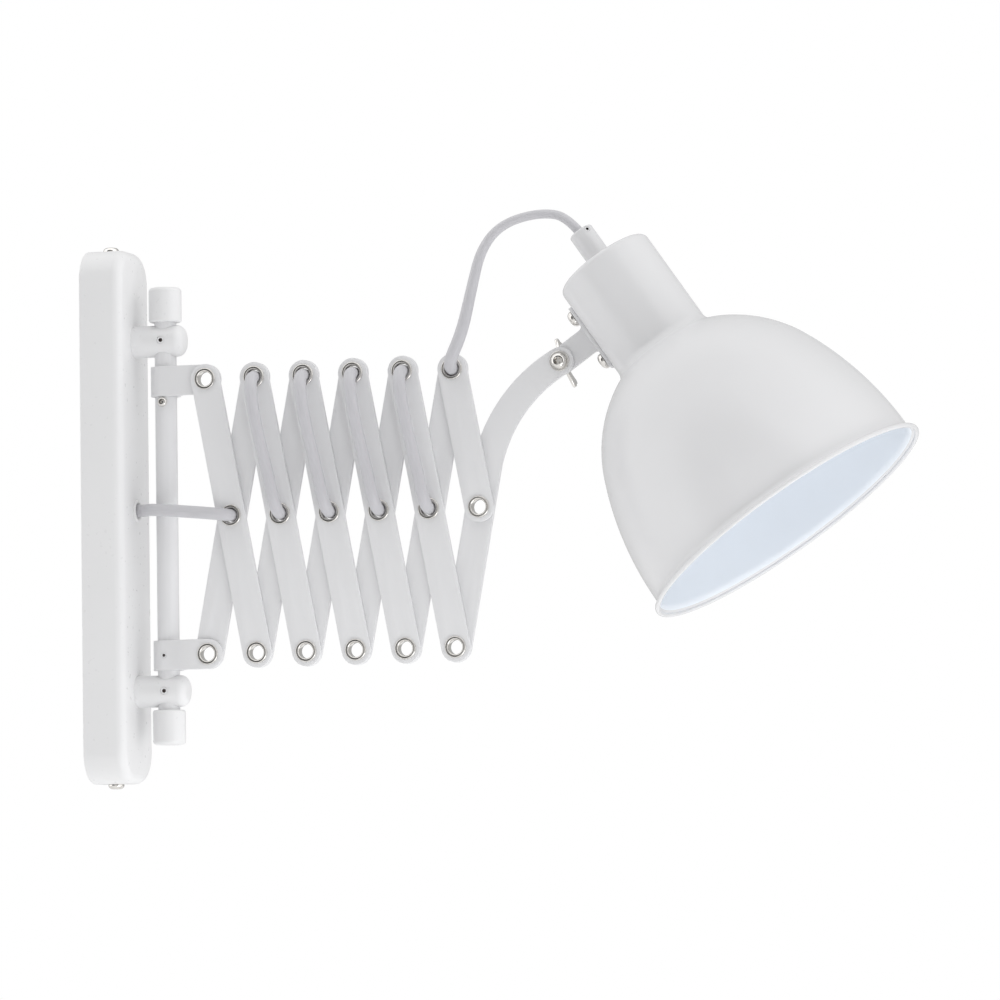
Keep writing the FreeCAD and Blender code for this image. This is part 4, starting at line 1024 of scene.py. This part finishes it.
def free_leads():
    bore = middle(1) + Vector((0, MID_Y, 0))
    wall = smooth_line(list(WALL_RUN) + [bore - Vector((0, FRONT_RUN[-1][1], 0)), bore])
    split = min(range(len(wall)), key=lambda k: abs(wall[k].x - WALL_SPLIT_X))
    free_lead("lead_wall_to_rod", wall[:split + 1],
              "cable_wall_run")
    free_lead("lead_rod_to_link", wall[split:],
              "cable_wall_run")

    bore = top(CELLS) + Vector((0, MID_Y, 0))
    ends = [NECK_TOP - SHADE_DIR * back for back in HEAD_RUN_ENDS]
    loop = smooth_line([bore, bore - Vector((0, FRONT_RUN[0][1], 0))] + [Vector(p) for p in HEAD_RUN] + ends)
    rising = [k for k in range(len(loop)) if loop[k].z > HEAD_SPLIT_Z]
    split = rising[0]
    free_lead("lead_loop_from_link", loop[:split + 1],
              "cable_head_loop",
              loop_flatness)
    free_lead("lead_loop_to_head", loop[split:], "cable_head_loop",
              loop_flatness)


# ---- stage, light and camera ----------------------------------------------------------------------
def floor():
    """Pale floor far under the lamp; the camera sees plain white, and the floor only keeps a soft shadow."""
    points = [(-3000, -3000, -900), (3000, -3000, -900), (3000, 3000, -900), (-3000, 3000, -900)]
    ground = built("floor", points, [(0, 1, 2, 3)])
    material, nodes, links, shader = new_material("floor_white")
    grain = noise(nodes, links, 3.0, 2.0)
    tone = ramp(nodes, links, grain.outputs["Fac"], (0.86, 0.86, 0.86), (0.88, 0.88, 0.88))
    links.new(tone, shader.inputs["Base Color"])
    shader.inputs["Roughness"].default_value = 0.9
    glow = nodes.new("ShaderNodeEmission")
    glow.inputs["Color"].default_value = (1, 1, 1, 1)
    rays = nodes.new("ShaderNodeLightPath")
    mix = nodes.new("ShaderNodeMixShader")
    links.new(rays.outputs["Is Camera Ray"], mix.inputs["Fac"])
    links.new(shader.outputs["BSDF"], mix.inputs[1])
    links.new(glow.outputs["Emission"], mix.inputs[2])
    links.new(mix.outputs["Shader"], nodes["Material Output"].inputs["Surface"])
    ground.data.materials.append(material)


# strength of the surroundings,
# from straight towards the camera (0) past the sides (0.5) to straight behind (1),
# for soft light and as shiny pieces mirror it
WORLD_TONES = ((0.03, 0.23), (0.12, 0.49), (0.28, 1.30), (0.5, 1.45), (0.9, 0.75))
MIRRORED_TONES = ((0.04, 0.12), (0.11, 0.12), (0.22, 1.60), (0.5, 1.50), (0.9, 0.50))


def world():
    """White for the camera; for all else bright round the sides, darker towards the camera and behind."""
    sky = bpy.data.worlds.new("studio")
    bpy.context.scene.world = sky
    sky.use_nodes = True
    nodes, links = sky.node_tree.nodes, sky.node_tree.links
    background = nodes["Background"]
    background.inputs["Color"].default_value = (1, 1, 1, 1)
    place = nodes.new("ShaderNodeTexCoord")
    split = nodes.new("ShaderNodeSeparateXYZ")
    links.new(place.outputs["Generated"], split.inputs["Vector"])
    turn = nodes.new("ShaderNodeMapRange")
    turn.inputs["From Min"].default_value = -1.0
    links.new(split.outputs["Y"], turn.inputs["Value"])
    strengths = []
    for tones in (WORLD_TONES, MIRRORED_TONES):
        steps = nodes.new("ShaderNodeValToRGB")
        steps.color_ramp.interpolation = "EASE"
        steps.color_ramp.elements.remove(steps.color_ramp.elements[1])
        for k, (share, strength) in enumerate(tones):
            stop = steps.color_ramp.elements.new(share) if k else steps.color_ramp.elements[0]
            stop.position = share
            stop.color = (strength, strength, strength, 1)
        links.new(turn.outputs["Result"], steps.inputs["Fac"])
        strengths.append(steps.outputs["Color"])
    seen = nodes.new("ShaderNodeBackground")
    seen.inputs["Color"].default_value = (1, 1, 1, 1)
    seen.inputs["Strength"].default_value = 1.0
    rays = nodes.new("ShaderNodeLightPath")
    pick = nodes.new("ShaderNodeMix")
    pick.data_type = "RGBA"
    links.new(rays.outputs["Is Glossy Ray"], pick.inputs["Factor"])
    links.new(strengths[0], pick.inputs[6])
    links.new(strengths[1], pick.inputs[7])
    links.new(pick.outputs[2], background.inputs["Strength"])
    mix = nodes.new("ShaderNodeMixShader")
    links.new(rays.outputs["Is Camera Ray"], mix.inputs["Fac"])
    links.new(background.outputs["Background"], mix.inputs[1])
    links.new(seen.outputs["Background"], mix.inputs[2])
    links.new(mix.outputs["Shader"], nodes["World Output"].inputs["Surface"])


def soft_light(name, place, target, size, power, tone=(1, 1, 1)):
    data = bpy.data.lights.new(name, "AREA")
    data.shape = "RECTANGLE"
    data.size, data.size_y = size
    data.energy = power
    data.color = tone
    obj = link_object(name, data)
    obj.location = place
    obj.rotation_euler = (Vector(target) - Vector(place)).to_track_quat("-Z", "Y").to_euler()
    return obj


LIGHTS = (
    ("under", (0.9, -0.5, -0.75), (0.36, 0, -0.02), (0.9, 0.7), 3.6, (0.97, 0.98, 1.0)),
    ("front", (0.35, -1.9, 0.1), (0.2, 0, 0), (1.4, 1.4), 3.0, (1, 1, 1)),
)


def lights():
    for light in LIGHTS:
        soft_light(*light)


# the photograph's camera, fitted to it: azimuth towards +X, elevation, roll, distance, focal length in pixels
CAMERA_AZIMUTH = math.radians(16.34)
CAMERA_ELEVATION = math.radians(-4.007)
CAMERA_ROLL = math.radians(-0.823)
CAMERA_DISTANCE = 3000.0
CAMERA_FOCAL = 6076.2
IMAGE_SIZE = 1000
SENSOR = 36.0
CAMERA_TARGET = Vector((212.04, 0.0, 2.19))


def camera():
    back = Vector((
        math.sin(CAMERA_AZIMUTH) * math.cos(CAMERA_ELEVATION),
        -math.cos(CAMERA_AZIMUTH) * math.cos(CAMERA_ELEVATION),
        math.sin(CAMERA_ELEVATION),
    ))
    right = Vector((math.cos(CAMERA_AZIMUTH), math.sin(CAMERA_AZIMUTH), 0))
    up = back.cross(right)
    rolled_right = right * math.cos(CAMERA_ROLL) + up * math.sin(CAMERA_ROLL)
    rolled_up = up * math.cos(CAMERA_ROLL) - right * math.sin(CAMERA_ROLL)
    data = bpy.data.cameras.new("photo_camera")
    data.sensor_width = SENSOR
    data.lens = SENSOR * CAMERA_FOCAL / IMAGE_SIZE
    data.clip_end = 50.0
    obj = link_object("photo_camera", data)
    pose = Matrix((rolled_right, rolled_up, back)).transposed().to_4x4()
    pose.translation = (CAMERA_TARGET + back * CAMERA_DISTANCE) * MM
    obj.matrix_world = pose
    bpy.context.scene.camera = obj


# ---- all of it ------------------------------------------------------------------------------------
wall_cover()
grommet()
inside_the_box()
posts()
rod_and_knobs()
straps()
links()
arm()
eyelets()
shade()
head_strap()
neck_and_gland()
lamp_socket()
tilt_joint()
woven_leads()
free_leads()
floor()
world()
lights()
camera()
bpy.context.scene.view_settings.view_transform = "Standard"
